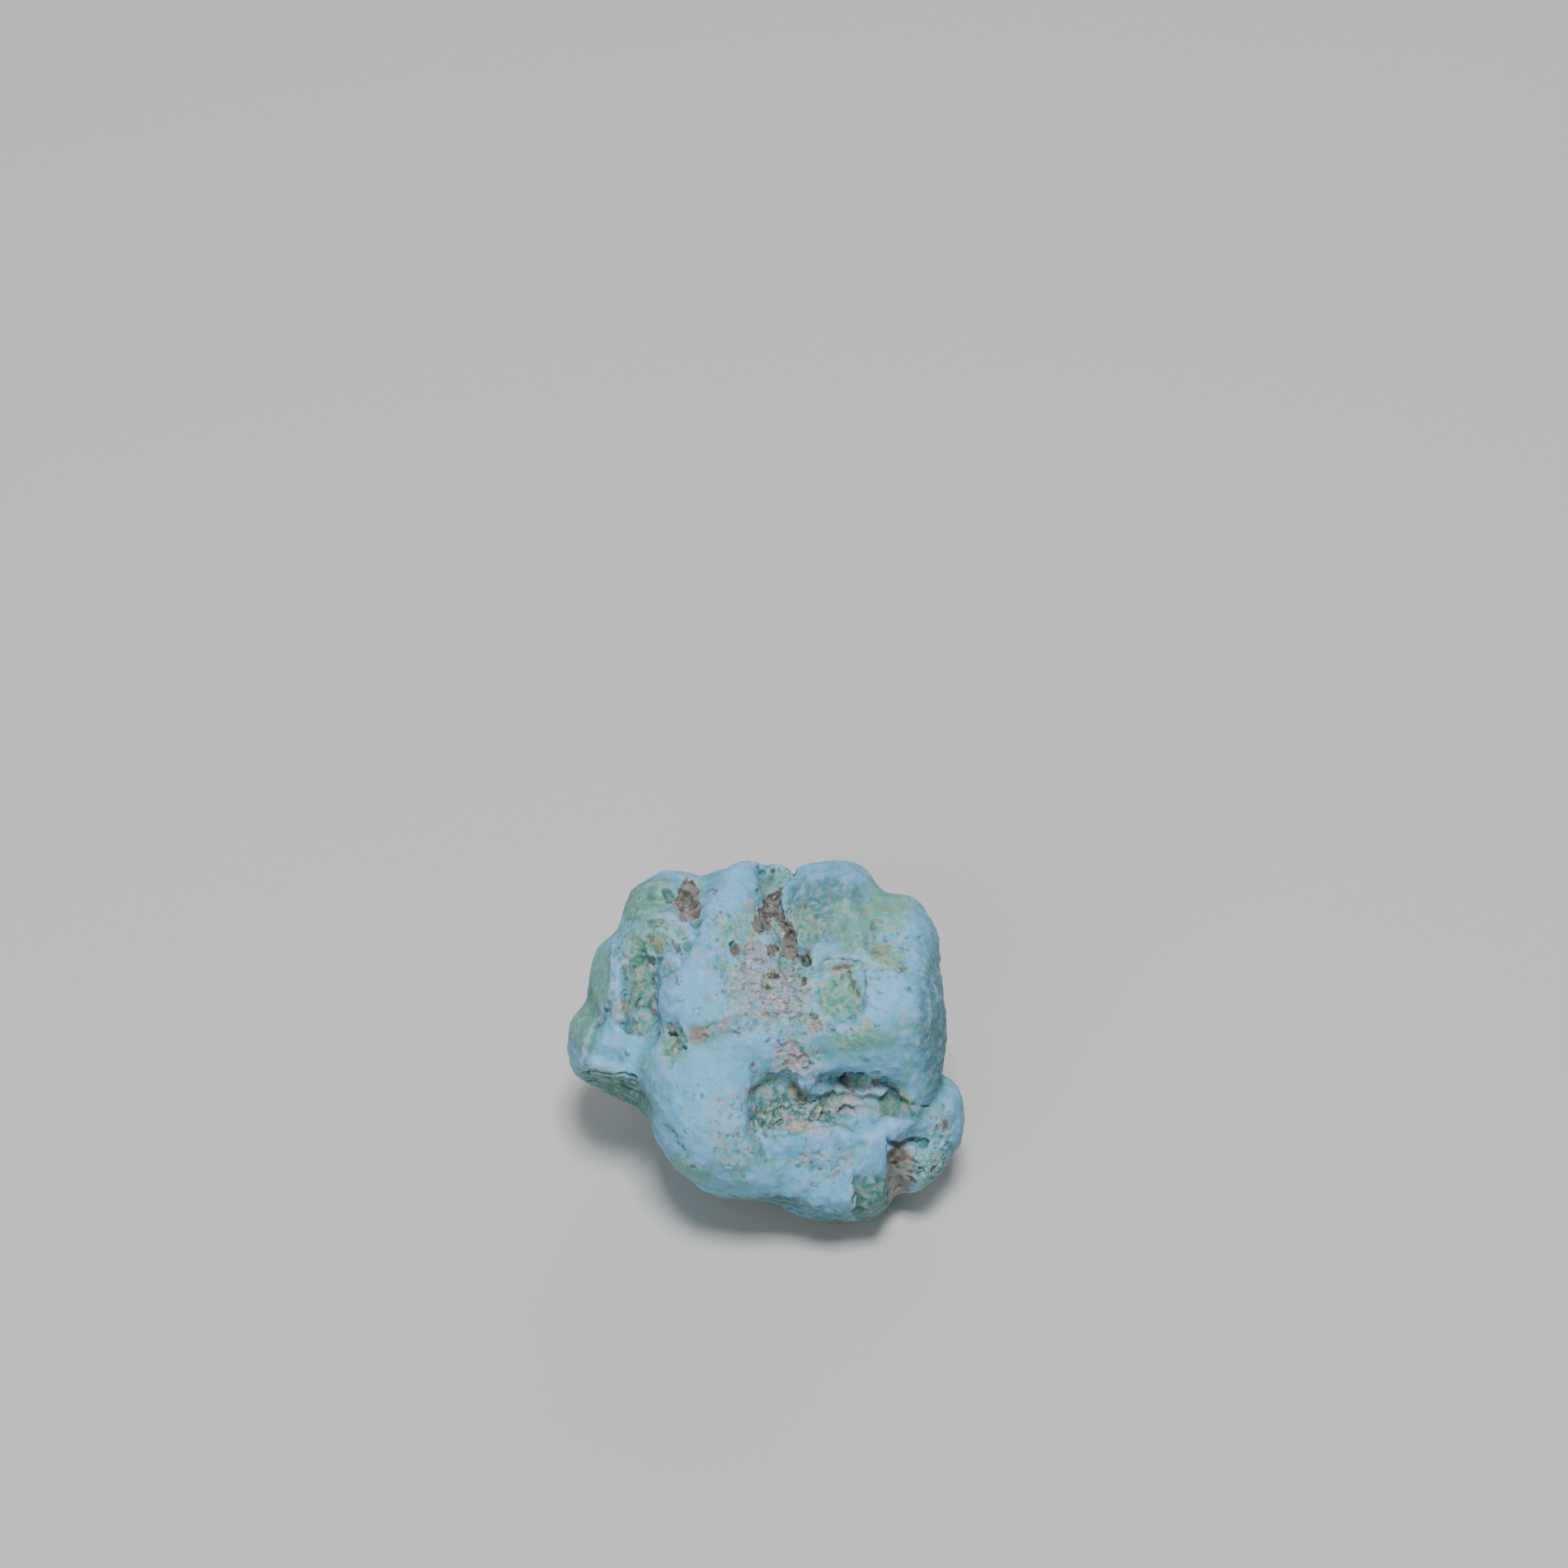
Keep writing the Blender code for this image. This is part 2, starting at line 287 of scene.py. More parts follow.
# %% Broken facets
CHIP_SHIFT = 3.77
TILT_SPREAD = 5.3  # sets the tilts of neighbouring facets apart


def chips(places, size, seed):
    """Facets of about this size in mm: the height of each tilted top, and the gap to the next cell."""
    heights = []
    gaps = []
    for place in map(Vector, scattered(places, size, seed * CHIP_SHIFT)):
        distances, middles = noise.voronoi(place)
        tilt = noise.noise_vector(middles[0] * TILT_SPREAD)
        heights.append(tilt.dot(place - middles[0]))
        gaps.append(distances[1] - distances[0])
    return np.array(heights), np.array(gaps)


print("facets ready, such as", [round(float(part[0]), 2) for part in chips(np.zeros((1, 3)), 1.0, 0)])

# %% [markdown]
# A mark such as a crack is drawn as a route on the show side, as if seen from the camera. Its depth
# isn't given: each point of the route is dropped straight onto the skin, as a chalk line would fall.

# %% Routes
ROUTE_STEP = 0.3  # mm
DROP_HEIGHT = 30.0  # mm, well outside the stone
NO_LENGTH = 1e-9  # keeps a leg without length from dividing by zero


def dropped(route):
    """The route's points, about a step apart, each on the skin."""
    legs = [
        np.linspace(start, end, 2 + int(math.dist(start, end) / ROUTE_STEP))
        for start, end in zip(route, route[1:])
    ]
    points = []
    for across, up in np.concatenate(legs) if legs else np.array(route, float):
        start = Vector(to_ground(np.array((across, up, DROP_HEIGHT))))
        hit, place, _, _ = stone.ray_cast(start, Vector(-SHOW_AXES[2]))
        if hit:
            points.append(to_show(np.array(place)))
    return np.array(points)


def off_line(places, line):
    """Distance of each place from a line, and the side it lies on: 1 on the left of the way drawn."""
    nearest = np.full(len(places), np.inf)
    side = np.ones(len(places))
    if len(line) == 1:
        return np.linalg.norm(places - line[0], axis=1), side
    for start, end in zip(line, line[1:]):
        run = end - start
        offset = places - start
        share = np.clip(offset @ run / max(run @ run, NO_LENGTH), 0, 1)
        away = np.linalg.norm(offset - share[:, None] * run, axis=1)
        closer = away < nearest
        nearest[closer] = away[closer]
        left = run[0] * offset[:, 1] - run[1] * offset[:, 0] > 0
        side[closer] = np.where(left, 1, -1)[closer]
    return nearest, side


print("a route over the dome has", len(dropped(((-6, -4), (-2, -6)))), "points")

# %% [markdown]
# Each tool is the outline of its cut, from the middle of the route outwards: a soft hollow, a
# pointed crack, a flat hole, or a ledge that steps down on one side and fades away from the step.

# %% Tools
LEDGE_DROP = 0.16  # half widths over which a ledge drops
HOLE_FLOOR = 0.6  # half widths to where a hole's floor ends
HOLE_RIM = 1.15  # half widths to the top of its side
REACH = 3  # half widths, past which a cut isn't felt
REACH_MARGIN = 0.5  # mm, for the ragged noise


def ledge_cut(share, side):
    """Full depth just left of the route, fading to the left, and nothing on its right."""
    left = np.maximum(side * share, 0)
    return ramp(left, 0.0, LEDGE_DROP) * np.exp(-(left**2))


CUTS = {
    "hollow": lambda share, side: np.exp(-(share**2)),
    "crack": lambda share, side: np.clip(1 - share, 0, 1),
    "hole": lambda share, side: 1 - ramp(share, HOLE_FLOOR, HOLE_RIM),
    "ledge": ledge_cut,
}


def carve(marks, raggedness, spacing):
    """Press each mark (tool, half width, depth, route) into the skin; a negative depth raises it."""
    places = read("co")
    normals = read("normal")
    loose = shaken(places, spacing, raggedness, seed=0)
    bpy.context.view_layer.update()
    depths = np.zeros(len(places))
    for tool, half_width, depth, route in marks.values():
        line = dropped(route)
        if len(line) == 0:
            continue
        reach = REACH * half_width + REACH_MARGIN
        inside = (places > line.min(axis=0) - reach) & (places < line.max(axis=0) + reach)
        near = np.flatnonzero(inside.all(axis=1))
        away, side = off_line(loose[near], line)
        depths[near] += depth * CUTS[tool](away / half_width, side)
    write(places - depths[:, None] * normals)
    print(len(marks), "marks, the deepest", round(depths.max(), 2), "mm")


print("tools:", ", ".join(CUTS))

# %% [markdown]
# First the forms, which are as wide as a pencil's tip. Left of the middle the stone has a dome, a
# long hollow and a corner that sticks out over a layered underside. They could be in the solid, but
# they are too low to be felt there, and they would cost it many triangles.

# %% Forms on the left
LEFT_FORMS = {
    # name: tool, half width, depth, route
    "left hollow": ("hollow", 0.8, 0.25, ((-9.3, 5.8), (-8.9, 3.0), (-9.2, 1.4))),
    "trough to the green pit": ("hollow", 0.5, 0.4, ((-8.9, 11.0), (-7.4, 10.9))),
    "brow of the left dome": ("hollow", 0.6, -0.35, ((-9.3, 9.4), (-7.6, 9.2), (-5.9, 8.6))),
    "left of the centre ridge": ("hollow", 0.4, 0.35, ((-5.2, 8.8), (-5.5, 7.4), (-5.9, 6.2))),
    "lump over the ochre crack": ("hollow", 0.7, -0.5, ((-7.9, 5.3), (-7.5, 5.1), (-7.2, 5.6))),
    "shoulder": ("hollow", 0.6, -0.3, ((-11.2, 7.4), (-11.3, 5.0), (-11.1, 3.2), (-10.6, 1.6))),
    "ledge hollow": ("hollow", 0.5, 0.35, ((-12.1, -1.0), (-11.1, -1.5))),
    "under the ledge": ("hollow", 0.8, 0.5, ((-13.2, -2.7), (-11.0, -3.0), (-9.6, -3.6))),
}
print(len(LEFT_FORMS), "forms on the left")

# %% [markdown]
# Right of the middle are a valley with crystals in it, a lobe beside it and a block behind that.

# %% Forms on the right
RIGHT_FORMS = {
    "valley": ("hollow", 0.9, 0.3, ((0.2, 12.2), (0.5, 10.2), (0.9, 8.4), (1.9, 6.4))),
    "right lobe's crest": ("hollow", 0.7, -0.25, ((5.8, 11.9), (5.9, 10.4), (6.8, 8.9), (7.1, 6.5))),
    "dimples on the right lobe": ("hollow", 0.9, 0.35, ((2.8, 10.0), (3.6, 9.0), (3.1, 7.6))),
    "hollow in the block's corner": ("hollow", 1.3, 0.3, ((8.6, 7.4), (9.2, 6.4))),
}
print(len(RIGHT_FORMS), "forms on the right")

# %% [markdown]
# The front has a deep cavity with a lump that hangs into it, and below it a lobe with a dented
# crest. All the forms are pressed at once, so that none is pressed into a neighbour's slope, and
# with wide ragged noise, so that they read as swells of the stone.

# %% Forms on the front
FRONT_FORMS = {
    "hanging lump": ("hollow", 1.0, -0.9, ((3.1, -2.8), (3.9, -3.2))),
    "floor under the slit": ("hollow", 1.2, -0.8, ((5.8, -4.5), (8.0, -4.7))),
    "slit": ("hollow", 0.5, 0.5, ((5.6, -2.8), (7.1, -2.6), (8.6, -2.8), (9.5, -3.4))),
    "left of the hanging lump": ("hollow", 0.7, 0.4, ((-0.4, -3.8), (0.7, -3.0), (1.9, -2.9), (2.5, -4.0))),
    "fold by the dome": ("hollow", 0.5, 0.25, ((-0.8, -5.9), (-0.5, -7.3), (0.1, -8.8))),
    "furrow on the bulge": ("hollow", 0.6, 0.2, ((-7.4, -6.2), (-6.9, -7.2), (-5.9, -8.3))),
    "dents on the bulge": ("hollow", 0.5, 0.2, ((-1.7, -9.6), (-1.9, -9.8))),
    "hollows in the front lobe": ("hollow", 0.8, 0.25, ((2.6, -8.6), (3.4, -9.4))),
    "second hollow in the front lobe": ("hollow", 0.7, 0.2, ((5.4, -7.6), (6.2, -8.4))),
    "gap in the front lobe's crest": ("hollow", 0.7, 0.35, ((2.2, -6.2), (2.7, -7.4))),
    "lump on the front lobe's crest": ("hollow", 0.9, -0.3, ((4.4, -7.0), (5.0, -7.6))),
    "dip in the front lobe's crest": ("hollow", 0.6, 0.3, ((6.6, -6.4), (7.2, -7.4))),
    "shoulder over the pink hollow": ("hollow", 1.0, -0.7, ((9.6, -6.2), (10.8, -5.9), (11.8, -6.0))),
}
carve({**LEFT_FORMS, **RIGHT_FORMS, **FRONT_FORMS}, raggedness=0.35, spacing=1.6)

# %% [markdown]
# Next come the edges and deep pits, which make the shadows that the eye finds first. A modelled
# bevel would be as clean as a machine's, so a ledge is a step that fades away behind its lip.

# %% Edges on the left
LEFT_EDGES = {
    "left corner's edge": ("ledge", 1.2, 0.35, ((-11.6, 3.2), (-12.6, 1.6), (-13.2, 0.4), (-13.5, -1.2))),
    "band's edge": ("ledge", 0.8, 0.25, ((-11.2, 7.6), (-11.4, 5.0), (-11.4, 2.7))),
    "pitted lump's lip": ("hollow", 0.35, -0.3, ((-8.9, 7.6), (-8.5, 6.7), (-7.5, 6.3), (-6.3, 6.1))),
    "above the pitted lump": ("hollow", 0.3, 0.35, ((-8.7, 8.6), (-7.8, 8.8), (-6.8, 8.5), (-6.1, 8.0))),
    "green pit": ("crack", 0.35, 0.8, ((-7.5, 11.25), (-6.95, 11.2), (-7.15, 10.4), (-7.5, 11.25))),
    "groove of the brown lens": ("crack", 0.35, 0.6, ((-8.35, 4.0), (-8.3, 2.8), (-7.9, 1.6))),
    "left hollow's right side": ("ledge", 1.4, 0.4, ((-7.9, 1.6), (-8.1, 3.0), (-8.3, 4.9))),
    "left hollow's lower lip": ("ledge", 0.7, 0.3, ((-10.6, 0.8), (-9.6, 0.45), (-8.8, 0.8), (-8.1, 1.3))),
    "green recess": ("hollow", 0.7, 0.3, ((-7.1, 0.3), (-6.8, -0.8))),
    "green recess's right side": ("ledge", 0.8, 0.25, ((-6.6, -1.4), (-5.8, -0.2), (-5.9, 0.6))),
}
print(len(LEFT_EDGES), "edges on the left")

# %% [markdown]
# The right lobe overhangs the valley with a crisp edge. In the block is a square hollow, like a
# small window, with upright sides and a floor that fades out below.

# %% Edges on the right
RIGHT_EDGES = {
    "right lobe's edge": (
        "ledge", 0.9, -0.5,
        ((2.4, 12.7), (1.5, 11.4), (1.2, 10.5), (1.5, 9.5), (1.9, 8.3), (2.4, 7.4)),
    ),
    "quartz's right side": ("ledge", 0.5, 0.25, ((0.9, 9.7), (0.8, 8.6), (1.1, 6.9), (1.1, 5.8))),
    "matrix's lower edge": ("ledge", 0.8, 0.25, ((0.6, 1.9), (-2.0, 0.9), (-3.6, 0.5), (-5.3, 0.2))),
    "square hollow's top": ("ledge", 1.2, 0.3, ((7.5, 5.75), (5.7, 6.0), (4.6, 5.95), (3.8, 5.7))),
    "square hollow's right": ("ledge", 0.5, 0.25, ((7.3, 2.8), (7.35, 4.2), (7.3, 5.7))),
    "square hollow's left": ("ledge", 0.5, 0.15, ((3.75, 5.8), (3.7, 3.6))),
}
print(len(RIGHT_EDGES), "edges on the right")

# %% [markdown]
# The cavity has a slit under its roof and a pale lens of stone below it. On its right, the roof
# ends in an edge above a green floor, and lower down a hollow with pinkish walls opens.

# %% Edges on the front
FRONT_EDGES = {
    "slit's roof": ("crack", 0.3, 0.8, ((5.6, -2.6), (6.2, -2.35), (7.15, -2.35), (8.4, -2.4))),
    "slit's right end": ("crack", 0.35, 0.9, ((8.8, -3.1), (9.3, -3.2), (9.8, -3.6))),
    "lens under the slit": ("ledge", 0.9, -0.8, ((5.2, -3.8), (6.0, -4.1), (7.4, -4.15), (8.6, -3.8))),
    "side of the cavity": ("ledge", 0.7, -0.4, ((9.5, -3.2), (10.2, -4.0), (10.8, -5.2))),
    "edge of the recess by the dome": (
        "ledge", 0.6, 0.2,
        ((2.3, -2.5), (1.4, -2.1), (0.4, -2.4), (-1.0, -3.6)),
    ),
    "edge of the green facet": ("ledge", 0.9, 0.5, ((6.5, -10.6), (6.6, -12.6))),
    "roof of the pink hollow": ("crack", 0.4, 0.9, ((9.2, -7.75), (10.3, -7.6), (11.9, -7.6))),
    "side of the pink hollow": ("ledge", 0.7, 0.4, ((8.9, -7.5), (9.25, -9.9), (9.15, -11.5))),
}
carve({**LEFT_EDGES, **RIGHT_EDGES, **FRONT_EDGES}, raggedness=0.3, spacing=0.8)

# %% [markdown]
# Cracks are narrower than the squares of clay so far. Working in the finest clay from the start
# would be slow, so it comes now, with one round of smoothing to keep the edges.

# %% Finer clay
MARKS_CLAY = 0.12  # mm
EDGES_SMOOTHING = 1  # round
remade(MARKS_CLAY, EDGES_SMOOTHING)

# %% [markdown]
# Hair cracks follow the layers in the stone. They are real cuts and not only painted lines, so that
# they catch the light in every view and stay in the mesh.

# %% Cracks
CRACKS = {
    "ochre crack": ("crack", 0.15, 0.25, ((-7.8, 4.5), (-6.9, 5.1), (-6.3, 5.4), (-5.9, 6.0))),
    "dark crack": ("crack", 0.15, 0.3, ((-8.9, 6.6), (-8.6, 6.0), (-8.3, 5.7), (-8.3, 5.0))),
    "band's crack": ("crack", 0.15, 0.2, ((-11.25, 7.2), (-11.3, 5.0))),
    "crack over the square hollow": ("crack", 0.2, 0.35, ((4.4, 5.9), (5.2, 6.05), (6.7, 5.9))),
    "crack in the square hollow": ("crack", 0.15, 0.25, ((6.3, 5.1), (6.3, 3.7))),
    "block's crack": ("crack", 0.15, 0.2, ((7.8, 2.5), (8.4, 2.3), (9.1, 2.0))),
    "arc crack": ("crack", 0.15, 0.4, ((5.2, -5.6), (6.0, -5.0), (6.8, -5.4), (6.9, -5.9), (6.7, -6.2))),
    "crack round the recess": ("crack", 0.15, 0.2, ((-1.0, -3.6), (-0.5, -3.3), (0.4, -2.4), (1.3, -2.1))),
    "crack under the recess": ("crack", 0.15, 0.25, ((-0.2, -5.3), (1.2, -5.0), (2.9, -4.6), (4.2, -4.2))),
    "crack in the cavity's floor": ("crack", 0.15, 0.3, ((-0.3, -6.0), (0.4, -6.0), (1.4, -5.8))),
    "ledges in the cavity's floor": (
        "ledge", 0.3, 0.25,
        ((6.6, -5.0), (5.2, -5.3), (4.2, -5.2), (3.0, -5.6)),
    ),
    "lower ledge in the cavity's floor": (
        "ledge", 0.3, 0.2,
        ((5.6, -6.0), (3.6, -6.1), (2.2, -6.6), (0.8, -6.9)),
    ),
    "crack under the leg": ("crack", 0.15, 0.3, ((10.9, -4.7), (12.2, -4.85))),
    "first layer": (
        "crack", 0.2, 0.5,
        ((-13.9, -2.3), (-12.5, -2.2), (-11.8, -2.45), (-10.4, -2.4), (-9.65, -2.7)),
    ),
    "second layer": ("crack", 0.2, 0.4, ((-13.2, -3.0), (-11.6, -3.2), (-9.6, -3.7))),
    "fold": ("crack", 0.2, 0.2, ((-0.8, -5.9), (-0.5, -7.2), (-0.2, -8.0), (0.1, -8.8))),
    "facet's dark edge": ("crack", 0.2, 0.3, ((6.55, -11.0), (6.6, -12.0))),
    "groove beside the quartz": ("crack", 0.15, 0.2, ((1.8, 10.4), (1.85, 9.9), (1.8, 9.2))),
}
print(len(CRACKS), "cracks")

# %% [markdown]
# Small holes are left where crumbs of the softer rock fell out.

# %% Pits
PITS = {
    "brown square pit": ("hole", 0.32, 0.5, ((-2.3, 7.1), (-2.2, 6.6))),
    "dark hole by the matrix": ("hole", 0.3, 0.5, ((2.3, 6.1), (2.9, 6.1), (3.2, 5.8))),
    "pit under the square hollow": ("hole", 0.2, 0.3, ((3.6, 1.9), (3.8, 1.8))),
    "right pit of the row": ("hole", 0.15, 0.25, ((6.2, 0.8), (6.4, 0.8))),
    "left pit of the row": ("hole", 0.15, 0.2, ((4.9, 0.7), (5.1, 0.65))),
    "brown pit in the recess": ("hole", 0.2, 0.4, ((-7.0, 0.5), (-6.6, 0.4))),
    "pit under the recess": ("hole", 0.15, 0.35, ((-6.1, -0.45), (-5.8, -0.5))),
    "pit in the left hollow": ("hole", 0.2, 0.25, ((-9.4, 2.8), (-9.2, 3.0))),
    "hole in the slit": ("hole", 0.33, 0.8, ((8.1, -3.1),)),
    "pit by the slit": ("hole", 0.13, 0.3, ((10.3, -4.1),)),
    "heel's upper pit": ("hole", 0.2, 0.5, ((11.5, -9.6), (11.8, -9.9))),
    "heel's right pit": ("hole", 0.2, 0.4, ((12.5, -9.6), (12.7, -9.8))),
    "heel's lower pit": ("hole", 0.2, 0.5, ((10.9, -10.2), (11.0, -10.5))),
    "notch's pit": ("hole", 0.22, 0.4, ((0.55, 12.9),)),
    "notch's left pit": ("hole", 0.25, 0.4, ((-0.5, 13.0), (-0.2, 12.8))),
    "notch's right pit": ("hole", 0.25, 0.4, ((1.9, 12.9), (2.2, 12.6))),
    "lens pit": ("hole", 0.18, 0.3, ((-6.4, 7.1), (-6.45, 6.7))),
    "small pit": ("hole", 0.12, 0.3, ((-5.85, 7.55), (-5.7, 7.75))),
    "green pit's neighbour": ("hole", 0.12, 0.25, ((-6.2, 7.6),)),
    "green square": ("hole", 0.3, 0.2, ((-5.7, 7.2), (-5.7, 6.8))),
    "holes in the matrix": ("hole", 0.18, 0.3, ((1.4, 4.4), (1.7, 4.7))),
    "second hole in the matrix": ("hole", 0.15, 0.3, ((1.5, 5.4), (2.0, 5.4))),
    "third hole in the matrix": ("hole", 0.12, 0.2, ((-1.7, 5.3), (-1.5, 5.2))),
}
carve({**CRACKS, **PITS}, raggedness=0.2, spacing=0.5)

# %% [markdown]
# The stone has places of several kinds, which differ in colour and in roughness alike. They could be
# painted on an image, but then the relief wouldn't know them. Instead each kind is a list of ragged
# spots, and each point of the skin learns how far it lies inside them. The rock that the turquoise
# grew in shows as pinkish crumbs, glassy quartz and brown holes, and one brown spot is painted shadow
# under the pink hollow's roof.

# %% Places where the rock shows
ROCK = {
    # name: spots, each with its middle, half sizes and any turn in degrees
    "matrix": [
        ((0.3, 3.7), (2.9, 2.2)), ((-3.5, 0.95), (1.9, 0.55), 17), ((-0.8, 6.3), (1.0, 1.2)),
        ((3.3, 1.4), (1.6, 0.8), -20), ((13.5, -6.0), (0.7, 0.8)), ((2.4, -1.2), (1.3, 0.8), -40),
    ],
    "quartz": [
        ((0.15, 9.7), (0.65, 1.8), -18), ((1.0, 10.9), (0.4, 0.8)), ((1.4, 8.4), (0.5, 1.9), 20),
        ((1.8, 6.8), (0.55, 0.8)), ((-5.75, 10.5), (0.95, 1.75), -5), ((0.65, 6.6), (0.5, 0.45)),
        ((0.5, 5.0), (0.6, 0.4)), ((2.9, 4.4), (0.35, 0.4)), ((0.2, 4.0), (0.4, 0.3)),
    ],
    "brown_and_painted_shadow": [
        ((2.9, 6.1), (0.65, 0.45), -30), ((-2.2, 6.83), (0.45, 0.6)), ((-8.15, 2.5), (0.3, 0.95), 20),
        ((-9.3, 2.86), (0.3, 0.2), 30), ((-6.8, 0.45), (0.3, 0.15), -20), ((-5.9, -0.5), (0.2, 0.15)),
        ((-2.0, 0.7), (0.5, 0.18), 15), ((5.6, 5.45), (0.8, 0.3)), ((6.4, 4.4), (0.12, 0.9)),
        ((6.8, 3.4), (0.25, 0.25)), ((-1.1, -1.8), (0.22, 0.4), 15), ((3.7, 1.9), (0.3, 0.2)),
        # the spot at (9.8, -8.4) is painted shadow under the pink hollow's roof
        ((13.4, -6.3), (0.35, 0.4)), ((-6.4, 6.9), (0.25, 0.5)), ((9.8, -8.4), (0.7, 0.7)),
        ((-5.8, 7.7), (0.2, 0.15), 40), ((-4.0, 11.25), (0.3, 0.12), 30), ((1.75, 9.9), (0.12, 0.6)),
        ((9.9, 5.35), (0.5, 0.3), 20), ((8.1, 8.6), (0.18, 0.18)), ((-8.45, 4.7), (0.18, 0.28)),
        ((0.6, 12.9), (0.2, 0.2)), ((6.0, -2.8), (0.6, 0.25), 10), ((4.8, 10.55), (0.15, 0.1)),
        ((0.0, -6.8), (0.4, 0.2), -40), ((3.1, -9.1), (0.35, 0.15), -40), ((5.2, -9.3), (0.3, 0.15), 30),
        ((8.1, -3.0), (0.45, 0.4)), ((9.3, -3.3), (0.4, 0.2), -30),
    ],
    "crumbs": [
        ((12.4, -8.9), (2.0, 2.0)), ((4.4, -5.3), (2.2, 0.6)), ((1.0, -5.6), (1.4, 0.6), 10),
        ((2.2, -1.3), (1.4, 0.9), -30),
    ],
}
print({name: len(spots) for name, spots in ROCK.items()})

# %% [markdown]
# Iron stains some places ochre, and the turquoise itself turns green where it has weathered.

# %% Stained places
STAINS = {
    "ochre": [
        ((-3.24, 11.9), (0.3, 0.35)), ((9.3, 10.0), (1.1, 0.35), 15), ((7.3, 9.3), (0.6, 0.2)),
        ((9.9, 5.4), (0.5, 0.35)), ((8.6, 6.3), (0.7, 0.8)), ((2.3, -3.7), (0.6, 0.8)),
        ((2.2, -4.0), (0.8, 0.35)), ((-1.1, 9.8), (0.5, 0.7), -10), ((-7.7, 7.3), (0.8, 0.5)),
        ((3.3, 1.2), (0.4, 0.3)), ((7.4, 1.25), (0.3, 0.3)), ((5.4, 5.2), (0.9, 0.5)),
        ((-7.0, 4.95), (1.0, 0.22), 33), ((-0.9, 7.7), (0.35, 0.5)), ((-10.7, 2.3), (0.8, 1.0)),
        ((10.3, -4.3), (0.2, 0.9), 35), ((-3.0, -7.2), (0.5, 0.4)), ((-1.5, -3.6), (0.3, 0.25)),
        ((2.2, -6.2), (1.2, 0.4), 10), ((5.2, -3.5), (0.4, 0.2), 20), ((0.1, 11.4), (0.5, 0.25), 35),
        ((-9.6, 4.1), (0.5, 0.2), 10), ((-2.2, 8.4), (0.3, 0.3)), ((-8.6, 8.2), (0.15, 0.35), -40),
        ((-6.6, 7.2), (0.3, 0.12), 20),
    ],
    "green": [
        ((-9.5, 6.8), (0.9, 1.2), 20), ((-9.3, 4.6), (1.0, 1.6)), ((-9.2, 3.2), (0.9, 0.9)),
        ((-9.3, 1.3), (1.2, 0.7), 15), ((6.3, 8.6), (1.3, 2.6), 10), ((9.0, 9.6), (2.0, 1.8)),
        ((2.8, 8.4), (1.0, 1.6), 10), ((9.0, 6.2), (1.4, 1.2)), ((-11.3, -3.6), (2.9, 1.6), -25),
        ((9.6, -4.6), (1.0, 1.5), -20), ((7.9, -11.8), (1.4, 1.6)), ((-13.6, 1.2), (1.0, 1.9)),
        ((-12.3, 4.9), (1.0, 2.4)), ((-7.0, -0.4), (0.9, 1.1)), ((-5.65, 7.0), (0.35, 0.55)),
        ((-4.95, 6.5), (0.4, 0.4)), ((-0.6, 8.4), (0.3, 1.4), -15), ((-1.2, 6.6), (0.4, 0.7)),
        ((5.6, 3.4), (1.6, 2.2)), ((-7.2, 10.8), (0.6, 0.5)), ((-7.1, 5.7), (0.7, 0.35), -20),
        ((7.0, 0.2), (2.6, 0.9), 10), ((7.0, -2.9), (0.9, 0.3)), ((1.0, -5.4), (1.4, 0.5), 15),
        ((4.6, -4.6), (1.6, 0.5), 10), ((-8.9, 10.6), (2.2, 1.6), 10), ((-8.0, 8.0), (1.6, 1.4)),
        ((1.0, 12.5), (1.2, 0.6)), ((12.6, -9.6), (1.8, 1.6)), ((-5.6, -9.4), (1.8, 0.7), -40),
        ((-5.9, 8.2), (0.4, 0.4)), ((-3.2, 5.5), (0.5, 0.5)), ((-3.6, 9.0), (0.9, 0.5), 30),
        ((0.3, -2.9), (0.8, 0.5), 20), ((-9.8, 7.8), (0.8, 0.6)), ((10.6, 11.0), (0.8, 0.6)),
    ],
    "chalky": [
        ((7.0, -3.6), (2.0, 0.6), -5), ((6.4, -4.9), (2.0, 0.8)), ((2.0, -1.3), (1.4, 1.0), -40),
        ((-9.3, 5.2), (0.5, 0.4)), ((-1.0, -3.4), (0.5, 0.4)), ((3.0, -6.2), (1.8, 0.5)),
    ],
    "pink": [((10.0, -9.7), (1.1, 2.4), -5), ((-4.85, 0.75), (0.5, 0.8), -25)],
}
print({name: len(spots) for name, spots in STAINS.items()})
